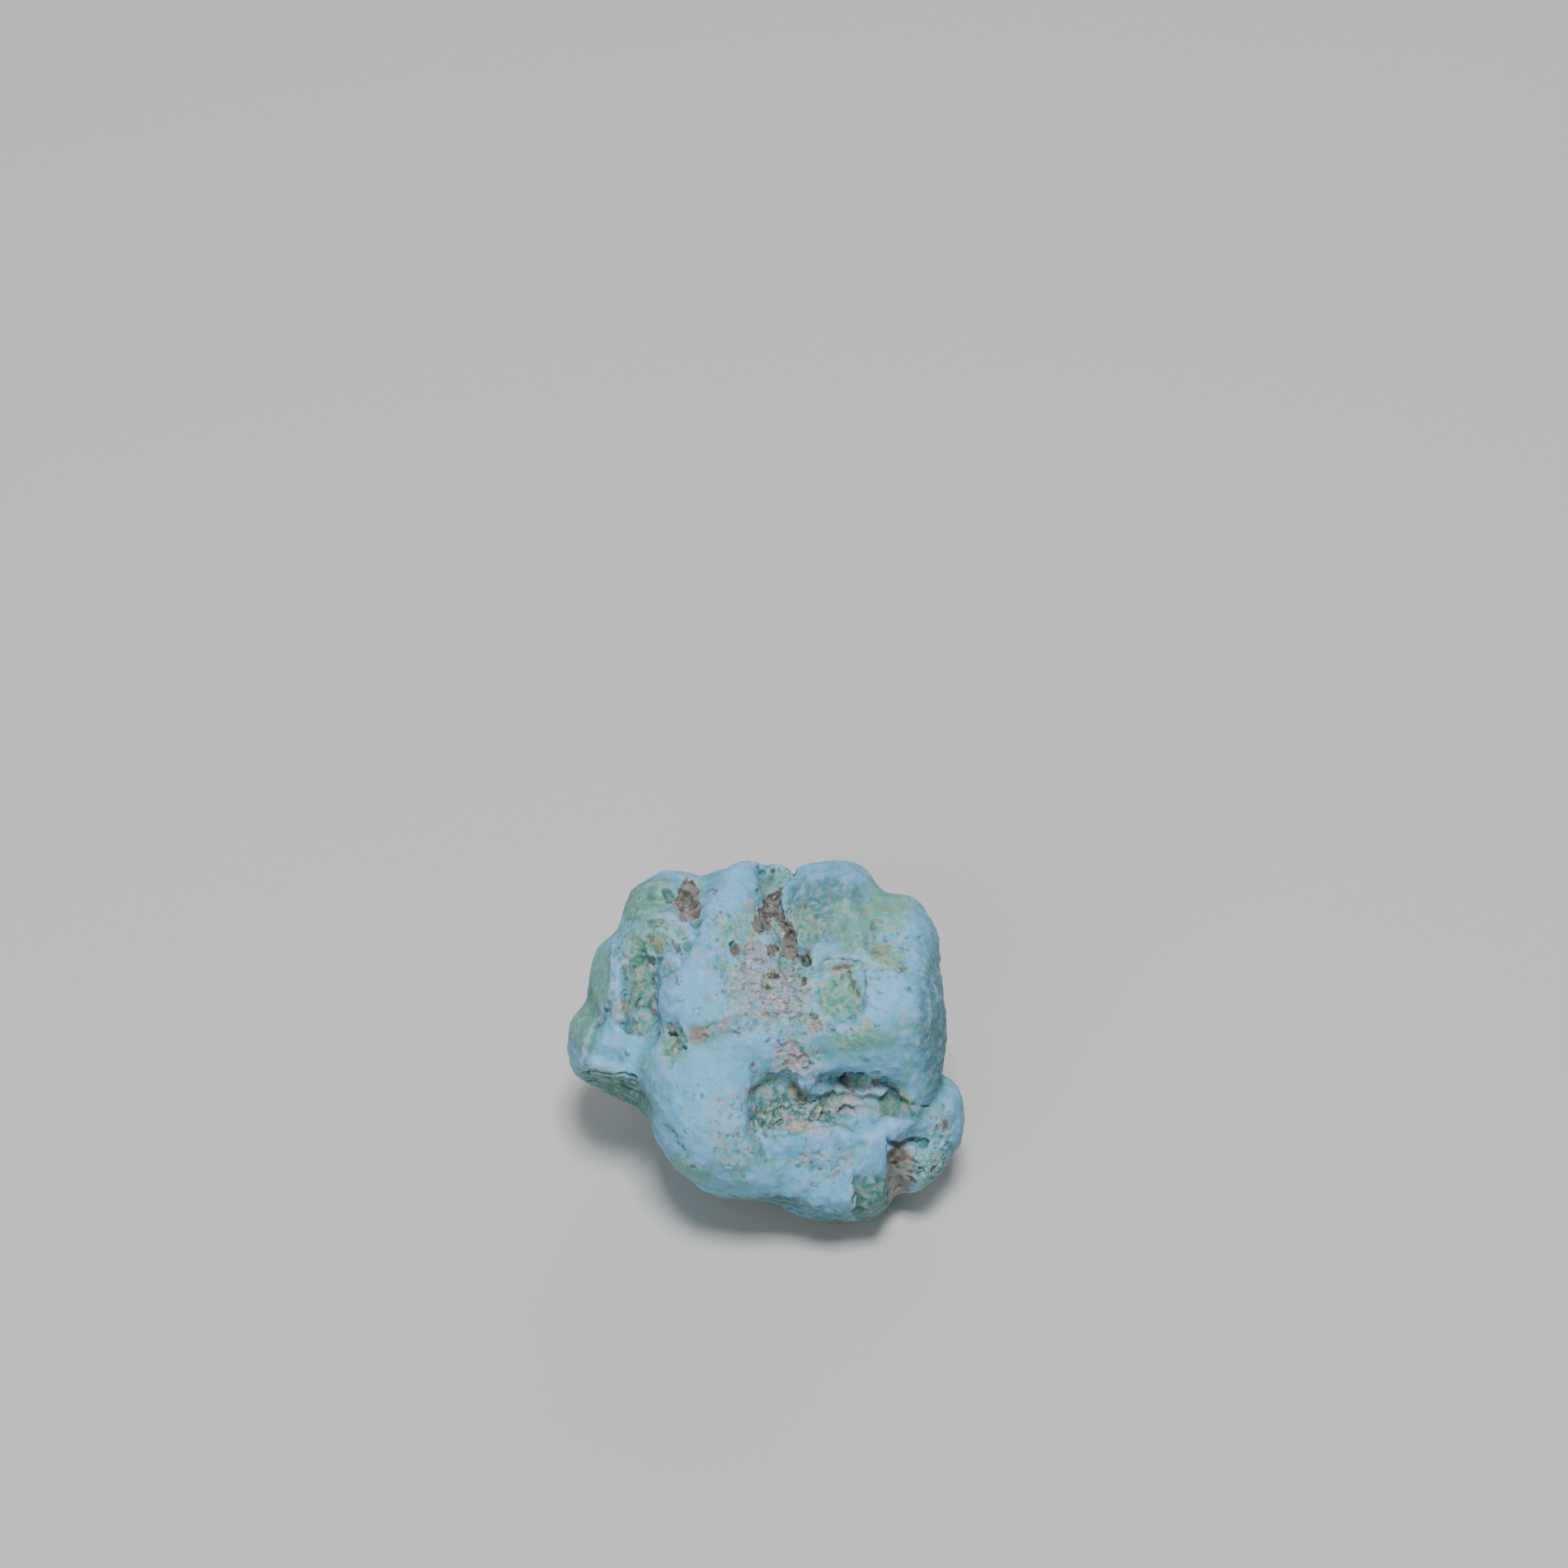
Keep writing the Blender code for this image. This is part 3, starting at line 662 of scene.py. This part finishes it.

# %% [markdown]
# Between them lies the plain blue skin. Parts of it are mottled. The pale spots are painted light on
# bulges, the dull spots a duller colour that is partly painted shade, and the shaded spots painted
# shade. At the sides and below, the stone split along its layers.

# %% Shades of the skin
SHADES = {
    "mottled": [
        ((0.3, 4.5), (4.2, 4.6)), ((-9.3, 3.8), (1.9, 3.4)), ((2.8, -4.4), (4.4, 2.4)),
        ((-7.5, 7.3), (1.8, 1.7)), ((3.0, 8.7), (1.6, 2.0)), ((8.8, 7.0), (1.8, 1.8)),
        ((5.7, 3.6), (2.2, 2.4)), ((-6.6, 0.2), (1.3, 1.5)), ((12.2, -8.8), (2.6, 2.4)),
        ((-0.9, 9.0), (1.0, 3.0), -10), ((-2.4, -6.6), (2.0, 3.0)), ((4.4, -9.0), (2.6, 1.4)),
        ((-10.8, 2.4), (1.4, 1.4)), ((5.0, 1.2), (3.4, 1.0)), ((2.2, -1.2), (2.2, 1.6)),
        ((10.2, -10.0), (1.2, 2.4)), ((-3.2, 8.4), (1.4, 2.0)),
    ],
    # painted light: these spots make bulges paler, as where they catch the lamps
    "pale": [
        ((-1.8, -0.7), (2.8, 1.5), 15), ((-3.4, -1.6), (2.6, 1.2)), ((-11.4, -1.6), (1.6, 0.7), -20),
        ((8.8, 3.4), (2.0, 2.4)), ((-2.2, 11.0), (1.2, 1.8), -25), ((-4.8, 3.4), (1.8, 2.0)),
        ((-11.0, -0.2), (2.0, 1.4)), ((3.2, -10.6), (4.0, 1.2), -10), ((9.4, 8.0), (1.2, 1.0)),
        ((-4.0, -5.0), (2.6, 3.0), 20), ((8.2, -6.6), (2.4, 0.8)),
    ],
    # a duller colour, partly real and partly painted shade on sides, recesses and the underside
    "dull_and_painted_shade": [
        ((-8.8, 10.6), (2.4, 1.7), 10), ((-9.2, 6.2), (1.4, 1.6)), ((2.5, -5.3), (3.4, 1.0), 8),
        ((-6.8, 0.0), (1.0, 1.2)), ((-13.4, 1.6), (1.4, 2.6)), ((-11.0, -4.2), (3.0, 1.6), -25),
        ((12.6, 1.8), (1.5, 5.0)), ((2.4, -4.9), (3.6, 1.3), 8), ((7.9, -11.8), (1.7, 2.2)),
        ((-7.2, 10.8), (0.5, 0.6)), ((9.6, -5.0), (1.4, 0.9), -20), ((0.0, -11.8), (3.4, 0.5)),
        ((4.6, 9.8), (2.6, 2.6)),
    ],
    # painted shade: dark teal on the underside, the green facet and the cavity's floor
    "shaded": [
        ((-11.5, -3.4), (2.8, 1.4), -25), ((2.5, -12.9), (4.0, 1.0), -10), ((7.9, -11.8), (1.4, 1.9)),
        ((1.6, -5.2), (2.6, 1.0), 8), ((9.4, -4.8), (0.9, 1.2), -20),
    ],
    "layers": [((-11.5, -3.3), (2.8, 1.4), -25), ((2.5, -12.8), (4.0, 1.0), -10)],
    "lines": [((12.6, 1.6), (1.6, 5.6))],
}
print({name: len(spots) for name, spots in SHADES.items()})

# %% [markdown]
# A spot is an ellipse with a soft rim, and only counts where the skin faces the show side. The
# points are shaken twice before they are tested, by large and by small noise, which frays the rims.

# %% Find the places
CRISP_RIMS = {"quartz": 0.06, "brown_and_painted_shadow": 0.12}
SOFT_RIM = 0.25
WIDE_RIM = 0.3
AT_RIM = 0.6  # a spot's measure at its rim, which is 1 more in its middle
TURNED = (-0.25, 0.1)  # how far a normal points out of the show side where marks start and are full
BEHIND = (-6.0, -4.0)  # mm, how far out a place lies where marks start and are full


def on_show_side(out):
    """1 where the skin faces the show side and doesn't lie far behind it, 0 at the back."""
    return ramp(normals[:, 2], *TURNED) * ramp(out, *BEHIND)


def patches(spots, rim):
    """How far each point lies within any of the spots: 1 in the middle, 0 outside."""
    inside = np.zeros(len(loose))
    for (across, up), (half_across, half_up), *turned in spots:
        angle = math.radians(sum(turned))
        x = loose[:, 0] - across
        y = loose[:, 1] - up
        along = (x * math.cos(angle) + y * math.sin(angle)) / half_across
        over = (y * math.cos(angle) - x * math.sin(angle)) / half_up
        inside = np.maximum(inside, 1 + AT_RIM - np.hypot(along, over))
    return ramp(inside, AT_RIM - rim, AT_RIM + rim) * on_show_side(loose[:, 2])


places = read("co")
normals = read("normal")
loose = shaken(places, spacing=1.3, distance=0.5, seed=4)
loose = shaken(loose, spacing=0.35, distance=0.18, seed=5)
KINDS = {**ROCK, **STAINS, **SHADES}
region = {name: patches(spots, CRISP_RIMS.get(name, SOFT_RIM)) for name, spots in KINDS.items()}
region["rim"] = patches(ROCK["quartz"], WIDE_RIM)
print("share of the skin:", {name: round(float(values.mean()), 3) for name, values in region.items()})

# %% [markdown]
# The back and the base are out of the show side's sight. Spots could be drawn for them too, but no
# particular mark is wanted there, so broad noise gives them patches of the same kinds. The rock has
# the seed of the mottled skin, so that it lies in the middle of it.

# %% Places at the back
HIDDEN_PLACES = {
    # kind: spacing of its patches in mm, seed, height of the noise where it starts and is full
    "mottled": (6.0, 11, -0.1, 0.25),
    "green": (5.0, 12, 0.1, 0.4),
    "matrix": (6.0, 11, 0.32, 0.42),
    "ochre": (3.0, 13, 0.35, 0.5),
}
hidden = 1 - on_show_side(places[:, 2])
for name, (spacing, seed, start, full) in HIDDEN_PLACES.items():
    found = hidden * ramp(bumps(places, spacing, octaves=4, seed=seed), start, full)
    region[name] = np.maximum(region[name], found)
print("hidden share of the skin:", round(float(hidden.mean()), 2))

# %% [markdown]
# The relief all over comes in sizes, as on any broken stone: facets of 3 mm, chips of 1 mm and
# grains of half a millimetre, on a swell. A Displace modifier could add each one, but it couldn't
# follow the places. The back has no drawn forms, so its facets are deeper.

# %% Facets, chips and grains
SWELL = 0.14  # mm, the height of each size of relief
SMALL_SWELL = 0.07
FACET = 0.2
HIDDEN_FACET = 0.3
CHIP = 0.08
GRAIN = 0.05
facet, facet_gap = chips(shaken(places, 3.0, 0.5, seed=0), 3.2, seed=1)
chip, chip_gap = chips(shaken(places, 1.0, 0.4, seed=2), 1.1, seed=2)
grain, grain_gap = chips(shaken(places, 0.5, 0.15, seed=3), 0.5, seed=3)
height = SWELL * bumps(places, 2.2, octaves=4, seed=2)
height += SMALL_SWELL * bumps(places, 0.8, octaves=4, seed=3)
height += FACET * facet * ramp(facet_gap, 0.0, 0.25)
height += hidden * HIDDEN_FACET * facet * ramp(facet_gap, 0.0, 0.2)
height += CHIP * chip * ramp(chip_gap, 0.0, 0.25)
height += GRAIN * grain
print("relief so far, in mm:", height.min().round(2), "to", height.max().round(2))

# %% [markdown]
# Each kind of place has its own relief on top. Mottled skin is pitted, the rock is crumbly and lies
# a little deeper than the skin, and quartz breaks into bright flat faces. The heights are in mm.

# %% Relief of the places
chip_tops = chip * ramp(chip_gap, 0.0, 0.15)
height += region["mottled"] * (0.1 * chip_tops + 0.09 * grain * ramp(grain_gap, 0.0, 0.2))
height += region["matrix"] * (0.16 * grain * ramp(grain_gap, 0.0, 0.2) - 0.08)
height += region["quartz"] * (0.4 * chip * ramp(chip_gap, 0.0, 0.08) + 0.1 * grain - 0.12)
height += region["crumbs"] * (0.2 * chip_tops + 0.3 * grain * ramp(grain_gap, 0.0, 0.1) - 0.1)
print("with the places', in mm:", height.min().round(2), "to", height.max().round(2))

# %% [markdown]
# Pocks are pinholes in the skin, in loose groups and on all mottled parts.

# %% Pocks
POCK_SPACING = 0.45  # mm
POCK_DEPTH = 0.1  # mm
grouped = np.maximum(ramp(bumps(places, 3.0, octaves=2, seed=7), 0.1, 0.45), 0.9 * region["mottled"])
region["pock"] = ramp(bumps(places, POCK_SPACING, octaves=2, seed=6), 0.40, 0.52) * grouped
height -= POCK_DEPTH * region["pock"]
print("pocked share of the skin:", round(float(region["pock"].mean()), 3))

# %% [markdown]
# Where the stone split along its layers it has ribs, up the right side and along the underside of
# the left corner. They are noise in a stretched space, so each bump becomes a rib.

# %% Ribs and layers
UPRIGHT_RIBS = (1.0, 0.12, 1.0)
FLAT_LAYERS = (0.2, 1.0, 1.0)
RIB_HEIGHT = 0.06  # mm
LAYER_HEIGHT = 0.2  # mm
height += region["lines"] * RIB_HEIGHT * bumps(places * UPRIGHT_RIBS, 0.45, octaves=3, seed=8)
height += region["layers"] * LAYER_HEIGHT * bumps(loose * FLAT_LAYERS, 0.8, octaves=4, seed=9)
print("with ribs, in mm:", height.min().round(2), "to", height.max().round(2))

# %% [markdown]
# The relief fades away near the ground, so that the flat that the stone stands on stays flat, and
# then the skin takes all of it in one move along its normals.

# %% Press the relief
FLAT_BELOW = 0.05  # mm above the ground
FULL_ABOVE = 0.6  # mm above the ground
above = to_ground(places)[:, 2] / MM
height *= ramp(above, FLAT_BELOW, FULL_ABOVE)
write(places + height[:, None] * normals)
print("skin points:", len(places), "and the lowest is at", round(to_ground(read("co"))[:, 2].min() / MM, 2))

# %% [markdown]
# Crests are painted pale, partly as chalky wear and partly as a painted highlight, and hollows are
# painted darker as painted shade. Blender's pointiness could tell them apart, but the export can't
# keep it. So a smoothed copy of the skin is made, by averaging each point with its neighbours: what
# stands above the copy is a crest. A few rounds find the fine ones, and many rounds find the wide ones.

# %% Crests and hollows
FINE_ROUNDS = 8
WIDE_ROUNDS = 60
FINE_RANGE = 0.12  # mm from the deepest hollow that counts to the highest crest
WIDE_RANGE = 0.6  # mm


def evened(points, rounds):
    """Each point averaged with its neighbours, again and again."""
    edges = np.empty(len(stone.data.edges) * 2, dtype=int)
    stone.data.edges.foreach_get("vertices", edges)
    one, other = edges.reshape(-1, 2).T
    size = len(points)
    count = np.bincount(one, minlength=size) + np.bincount(other, minlength=size)
    columns = []
    for values in points.T:
        for _ in range(rounds):
            total = np.bincount(one, values[other], size) + np.bincount(other, values[one], size)
            values = total / count
        columns.append(values)
    return np.stack(columns, axis=1)


carved = read("co")
normals = read("normal")
close = evened(carved, FINE_ROUNDS)
broad = evened(close, WIDE_ROUNDS)
fine_height = ((carved - close) * normals).sum(axis=1)
wide_height = ((close - broad) * normals).sum(axis=1)
region["fine"] = np.clip(0.5 + fine_height / FINE_RANGE, 0, 1)
region["wide"] = np.clip(0.5 + wide_height / WIDE_RANGE, 0, 1)
print("fine crests and hollows, in mm:", np.percentile(fine_height, (5, 50, 95)).round(3))
print("wide crests and hollows, in mm:", np.percentile(wide_height, (5, 50, 95)).round(3))

# %% [markdown]
# The finish can't reach Python's arrays, so each kind of place is stored on the mesh as an attribute
# that the material reads by name.

# %% Store the places on the mesh
for name, values in region.items():
    attribute = stone.data.attributes.new(name, "FLOAT", "POINT")
    attribute.data.foreach_set("value", values.astype(np.float32))
print(len(region), "attributes:", ", ".join(region))

# %% [markdown]
# The carving needed even points, but a library part has to stay light. Decimate merges them where
# the skin is nearly flat, keeps cracks and edges, and carries the attributes along.

# %% Few enough triangles
TRIANGLES = 195000


def triangle_count():
    """How many triangles the stone's faces make."""
    return sum(len(face.vertices) - 2 for face in stone.data.polygons)


apply_modifier("DECIMATE", ratio=min(1.0, TRIANGLES / triangle_count()))
stone.data.shade_smooth()
print("triangles:", triangle_count())

# %% [markdown]
# The finish is built from nodes. They could be placed one at a time, but a sum of masks would then
# take a page. So a node's output is wrapped in a small class, and arithmetic on it adds Math nodes.

# %% Sums of sockets
finish = bpy.data.materials.new("raw turquoise")
finish.use_nodes = True
tree = finish.node_tree
shader = tree.nodes["Principled BSDF"]


class Socket:
    """An output of a node, which can take part in sums."""

    def __init__(self, output):
        self.output = output

    def __add__(self, other):
        return maths("ADD", self, other)

    def __radd__(self, other):
        return maths("ADD", other, self)

    def __sub__(self, other):
        return maths("SUBTRACT", self, other)

    def __rsub__(self, other):
        return maths("SUBTRACT", other, self)

    def __mul__(self, other):
        return maths("MULTIPLY", self, other)

    def __rmul__(self, other):
        return maths("MULTIPLY", other, self)


def node(kind, settings, values, output=0):
    """A new node with its settings made and its sockets filled or linked; gives back one output."""
    made = tree.nodes.new(kind)
    for name, value in settings.items():
        setattr(made, name, value)
    for name, value in values.items():
        if isinstance(value, Socket):
            tree.links.new(value.output, made.inputs[name])
        else:
            made.inputs[name].default_value = value
    return Socket(made.outputs[output])


def maths(operation, first, second):
    """One Math node."""
    return node("ShaderNodeMath", {"operation": operation}, {0: first, 1: second})


print("material:", finish.name, "with", len(tree.nodes), "nodes")

# %% [markdown]
# Four short words are enough to describe the stone: a mask is a kind of place, a speckle is noise of
# a given size, easing turns either into a soft-edged share, and blending lays one colour over
# another by a share. The speckles follow the stone's own coordinates, so they stay on it in any view.

# %% Words for the finish
MIX_FACTOR = 0  # the sockets of a Mix node that is set to colours
MIX_UNDER = 6
MIX_OVER = 7
MIX_RESULT = 2
coordinates = node("ShaderNodeTexCoord", {}, {}, "Object")


def mask(name):
    """A kind of place, from 0 to 1."""
    return node("ShaderNodeAttribute", {"attribute_name": name}, {}, "Fac")


def speckle(spacing, detail, roughness=0.55, stretch=(1, 1, 1)):
    """Noise from 0 to 1 with this many millimetres between its spots."""
    scaled = node("ShaderNodeMapping", {}, {"Vector": coordinates, "Scale": stretch})
    values = {"Vector": scaled, "Scale": 1 / (spacing * MM), "Detail": detail, "Roughness": roughness}
    return node("ShaderNodeTexNoise", {}, values, "Fac")


def eased(value, low, high):
    """A share that goes softly from 0 where the value is low to 1 where it is high."""
    settings = {"interpolation_type": "SMOOTHSTEP"}
    return node("ShaderNodeMapRange", settings, {"Value": value, "From Min": low, "From Max": high})


def blended(share, under, over, most=1.0):
    """The colour over laid on the colour under by a share, and by no more than most."""
    if most < 1:
        share = share * most
    values = {MIX_FACTOR: share, MIX_UNDER: under, MIX_OVER: over}
    return node("ShaderNodeMix", {"data_type": "RGBA"}, values, MIX_RESULT)


def screen(red, green, blue):
    """A colour as it is read off a screen, as light."""
    return tuple(((part / 255 + 0.055) / 1.055) ** 2.4 for part in (red, green, blue)) + (1.0,)


print("a middle grey is", round(screen(128, 128, 128)[0], 3), "as light")

# %% [markdown]
# Turquoise isn't one blue. Copper makes it sky blue, iron pulls it to green, and its crests are
# chalky. Some colours stand in for light and shade: lavender is a painted highlight, the light blue
# of the pale spots is painted light, the dull blue is partly painted shade, teal is painted shade,
# and chalk is partly a painted highlight. The rock adds pinks, creams, browns and the greys of quartz.

# %% Colours
PALE_BLUE = screen(74, 168, 202)
# a painted highlight for broad crests
LAVENDER_HIGHLIGHT = screen(106, 174, 234)
# painted light, the colour of the pale spots
PAINTED_LIGHT_BLUE = screen(104, 194, 240)
# a duller colour that is partly painted shade
DULL_AND_SHADE = screen(52, 104, 108)
GREEN = screen(92, 156, 136)
SEA_GREEN = screen(88, 160, 168)
SPOT_GREEN = screen(66, 132, 116)
# painted shade, for hollows and the shaded spots
PAINTED_SHADE_TEAL = screen(34, 88, 86)
# chalky wear on fine crests, also serving as a painted highlight
CHALK_AND_HIGHLIGHT = screen(160, 200, 212)
RIM = screen(160, 180, 172)
PINK = screen(176, 168, 176)
PINK_GREY = screen(154, 150, 156)
PINK_BROWN = screen(142, 134, 126)
CREAM = screen(176, 176, 144)
OCHRE = screen(154, 138, 86)
BROWN = screen(92, 78, 64)
QUARTZ = screen(122, 122, 120)
DARK_QUARTZ = screen(80, 76, 70)
WHITE_GRAIN = screen(198, 204, 206)
print("pale blue as light:", [round(part, 3) for part in PALE_BLUE[:3]])

# %% [markdown]
# One noise would give spots of one size, and the eye would see the pattern. The stone's colours drift
# over 5 mm, change over 1.6 mm, and are speckled at half a millimetre and finer.

# %% Speckles
drift = speckle(5.0, detail=3.0)
cloud = speckle(1.6, detail=4.0)
spots_one = speckle(0.5, detail=4.0)
spots_two = speckle(0.7, detail=5.0, roughness=0.65, stretch=(1.3, 0.8, 1.0))
spots_three = speckle(0.45, detail=3.0, roughness=0.6, stretch=(1.0, 1.2, 0.9))
dust = speckle(0.16, detail=3.0)
print("nodes so far:", len(tree.nodes))

# %% [markdown]
# The skin starts as blue that drifts to sea green. Broad crests are painted lavender as a painted
# highlight. Over it go painted light on the pale spots, a duller colour with painted shade on the
# dull spots, and the greener places.

# %% Blue skin
fine = mask("fine")
wide = mask("wide")
colour = blended(eased(drift + 0.6 * cloud + 0.3 * spots_two, 0.75, 1.2), SEA_GREEN, PALE_BLUE)
# broad crests get a lavender painted highlight
colour = blended(eased(wide + 0.6 * cloud + 0.3 * drift, 0.9, 1.25), colour, LAVENDER_HIGHLIGHT, most=0.8)
# painted light: the pale spots are lightened
colour = blended(mask("pale") * eased(cloud, 0.2, 0.5), colour, PAINTED_LIGHT_BLUE, most=0.6)
# the dull spots: a duller colour, partly painted shade
colour = blended(mask("dull_and_painted_shade"), colour, DULL_AND_SHADE, most=0.7)
colour = blended(eased(mask("green") + 0.9 * cloud + 0.5 * spots_two, 0.95, 1.9), colour, GREEN, most=0.85)
print("nodes so far:", len(tree.nodes))

# %% [markdown]
# Shade is painted into the hollows: the low parts of both sizes turn a darker teal, and so do the
# shaded spots on the underside, the green facet and the cavity's floor.

# %% Darker hollows
colour = blended(eased(0.62 - wide + 0.2 * (cloud - 0.5), 0.15, 0.6), colour, PAINTED_SHADE_TEAL, most=0.6)
colour = blended(eased(0.5 - fine + 0.2 * (spots_one - 0.5), 0.02, 0.6), colour, PAINTED_SHADE_TEAL, most=0.5)
# painted shade on the shaded spots
colour = blended(mask("shaded"), colour, PAINTED_SHADE_TEAL, most=0.6)
print("nodes so far:", len(tree.nodes))

# %% [markdown]
# The mottled skin has flecks of pink, cream, green and brown, a few tenths of a millimetre across.
# Each colour takes the peaks or the troughs of its own noise, so that they don't pile up, and dust
# frays them. The rest of the skin has the same flecks, only fainter. Fine crests are painted pale,
# partly as chalky wear and partly as a painted highlight.

# %% Flecks, and pale crests as wear and painted highlight
flecked = 0.40 + 0.60 * mask("mottled")
colour = blended(eased(spots_one + 0.3 * dust, 0.60, 0.86) * flecked, colour, PINK, most=0.75)
colour = blended(eased(spots_two + 0.3 * dust, 0.62, 0.90) * flecked, colour, CREAM, most=0.8)
colour = blended(eased(1.3 - spots_two - 0.3 * dust, 0.68, 0.92) * flecked, colour, SPOT_GREEN, most=0.7)
colour = blended(eased(1.3 - spots_three - 0.3 * dust, 0.84, 0.98) * flecked, colour, BROWN, most=0.7)
# fine crests: chalky pale, partly wear and partly a painted highlight
colour = blended(eased(fine + 0.1 * (dust - 0.5), 0.55, 0.95), colour, CHALK_AND_HIGHLIGHT, most=0.4)
print("nodes so far:", len(tree.nodes))

# %% [markdown]
# The rock is a mass of crumbs, each its own colour: pinkish grey, brown, white or blue. Iron stains
# the skin around them.

# %% Crumbs and stains
crumbs = blended(eased(1.0 - spots_three, 0.50, 0.58), PINK_GREY, BROWN, most=0.9)
crumbs = blended(eased(spots_one + 0.3 * dust, 0.70, 0.85), crumbs, WHITE_GRAIN, most=0.8)
crumbs = blended(eased(spots_two, 0.52, 0.62), crumbs, PALE_BLUE, most=0.4)
colour = blended(mask("matrix") * eased(spots_one, 0.25, 0.55), colour, crumbs, most=0.85)
colour = blended(mask("ochre") * eased(spots_one + 0.3 * cloud, 0.45, 0.8), colour, OCHRE, most=0.55)
colour = blended(eased(mask("rim"), 0.05, 0.5), colour, RIM, most=0.6)
colour = blended(mask("chalky") * eased(spots_one, 0.3, 0.6), colour, PINK, most=0.6)
print("nodes so far:", len(tree.nodes))

# %% [markdown]
# Quartz is grey glass with a pale rim where it meets the turquoise. Real glass would let the light
# through, but this quartz is cloudy and only a skin deep, so two greys and a low roughness are
# enough. Pink walls, brown holes with one spot of painted shadow, and pocks lie over everything.

# %% Quartz and holes
glass = blended(eased(speckle(0.8, detail=3.0) + 0.2 * dust, 0.48, 0.68), DARK_QUARTZ, QUARTZ)
colour = blended(mask("quartz"), colour, glass)
colour = blended(mask("pink") * eased(spots_two, 0.3, 0.5), colour, PINK_BROWN, most=0.9)
# brown holes, and one spot of painted shadow under the pink hollow's roof
colour = blended(mask("brown_and_painted_shadow") * eased(spots_one, 0.3, 0.55), colour, BROWN, most=0.85)
colour = blended(mask("pock"), colour, BROWN, most=0.4)
tree.links.new(colour.output, shader.inputs["Base Color"])
print("nodes so far:", len(tree.nodes))

# %% [markdown]
# Raw turquoise is as dull as chalk, and only the quartz shines. Grains finer than the clay are left
# to a bump, which is weaker on the quartz.

# %% Roughness and fine bump
SKIN_ROUGHNESS = 0.62
QUARTZ_ROUGHNESS = 0.20
BUMP_DEPTH = 0.09  # mm
BUMP_STRENGTH = 0.75
GLOSS = 0.4
quartz = mask("quartz")
roughness = SKIN_ROUGHNESS - (SKIN_ROUGHNESS - QUARTZ_ROUGHNESS) * quartz + 0.1 * (dust - 0.5)
tree.links.new(roughness.output, shader.inputs["Roughness"])
grains = (0.7 * spots_three + 0.4 * dust + 0.2 * speckle(0.06, detail=2.0)) * (1 - 0.67 * quartz)
values = {"Height": grains, "Strength": BUMP_STRENGTH, "Distance": BUMP_DEPTH * MM}
bump = node("ShaderNodeBump", {}, values, "Normal")
tree.links.new(bump.output, shader.inputs["Normal"])
shader.inputs["Specular IOR Level"].default_value = GLOSS
print("nodes in all:", len(tree.nodes))

# %% [markdown]
# The finished stone takes the solid's place: it moves with it, stands for it and has its finish.

# %% Set the stone in the frame
stone.data.materials.clear()
stone.data.materials.append(finish)
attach(stone, "root")
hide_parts("nugget")
print("material slots:", len(stone.data.materials))

# %% [markdown]
# The stone must be as large as the solid. Both boxes' sides are printed here.

# %% Both boxes' sides
new_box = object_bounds()
boxes = {
    "cad": [list(corner) for corner in cad_box],
    "visual": [list(corner) for corner in new_box],
}
for name, (low, high) in boxes.items():
    print(name, "sides in mm:", [round((b - a) / MM, 2) for a, b in zip(low, high)])
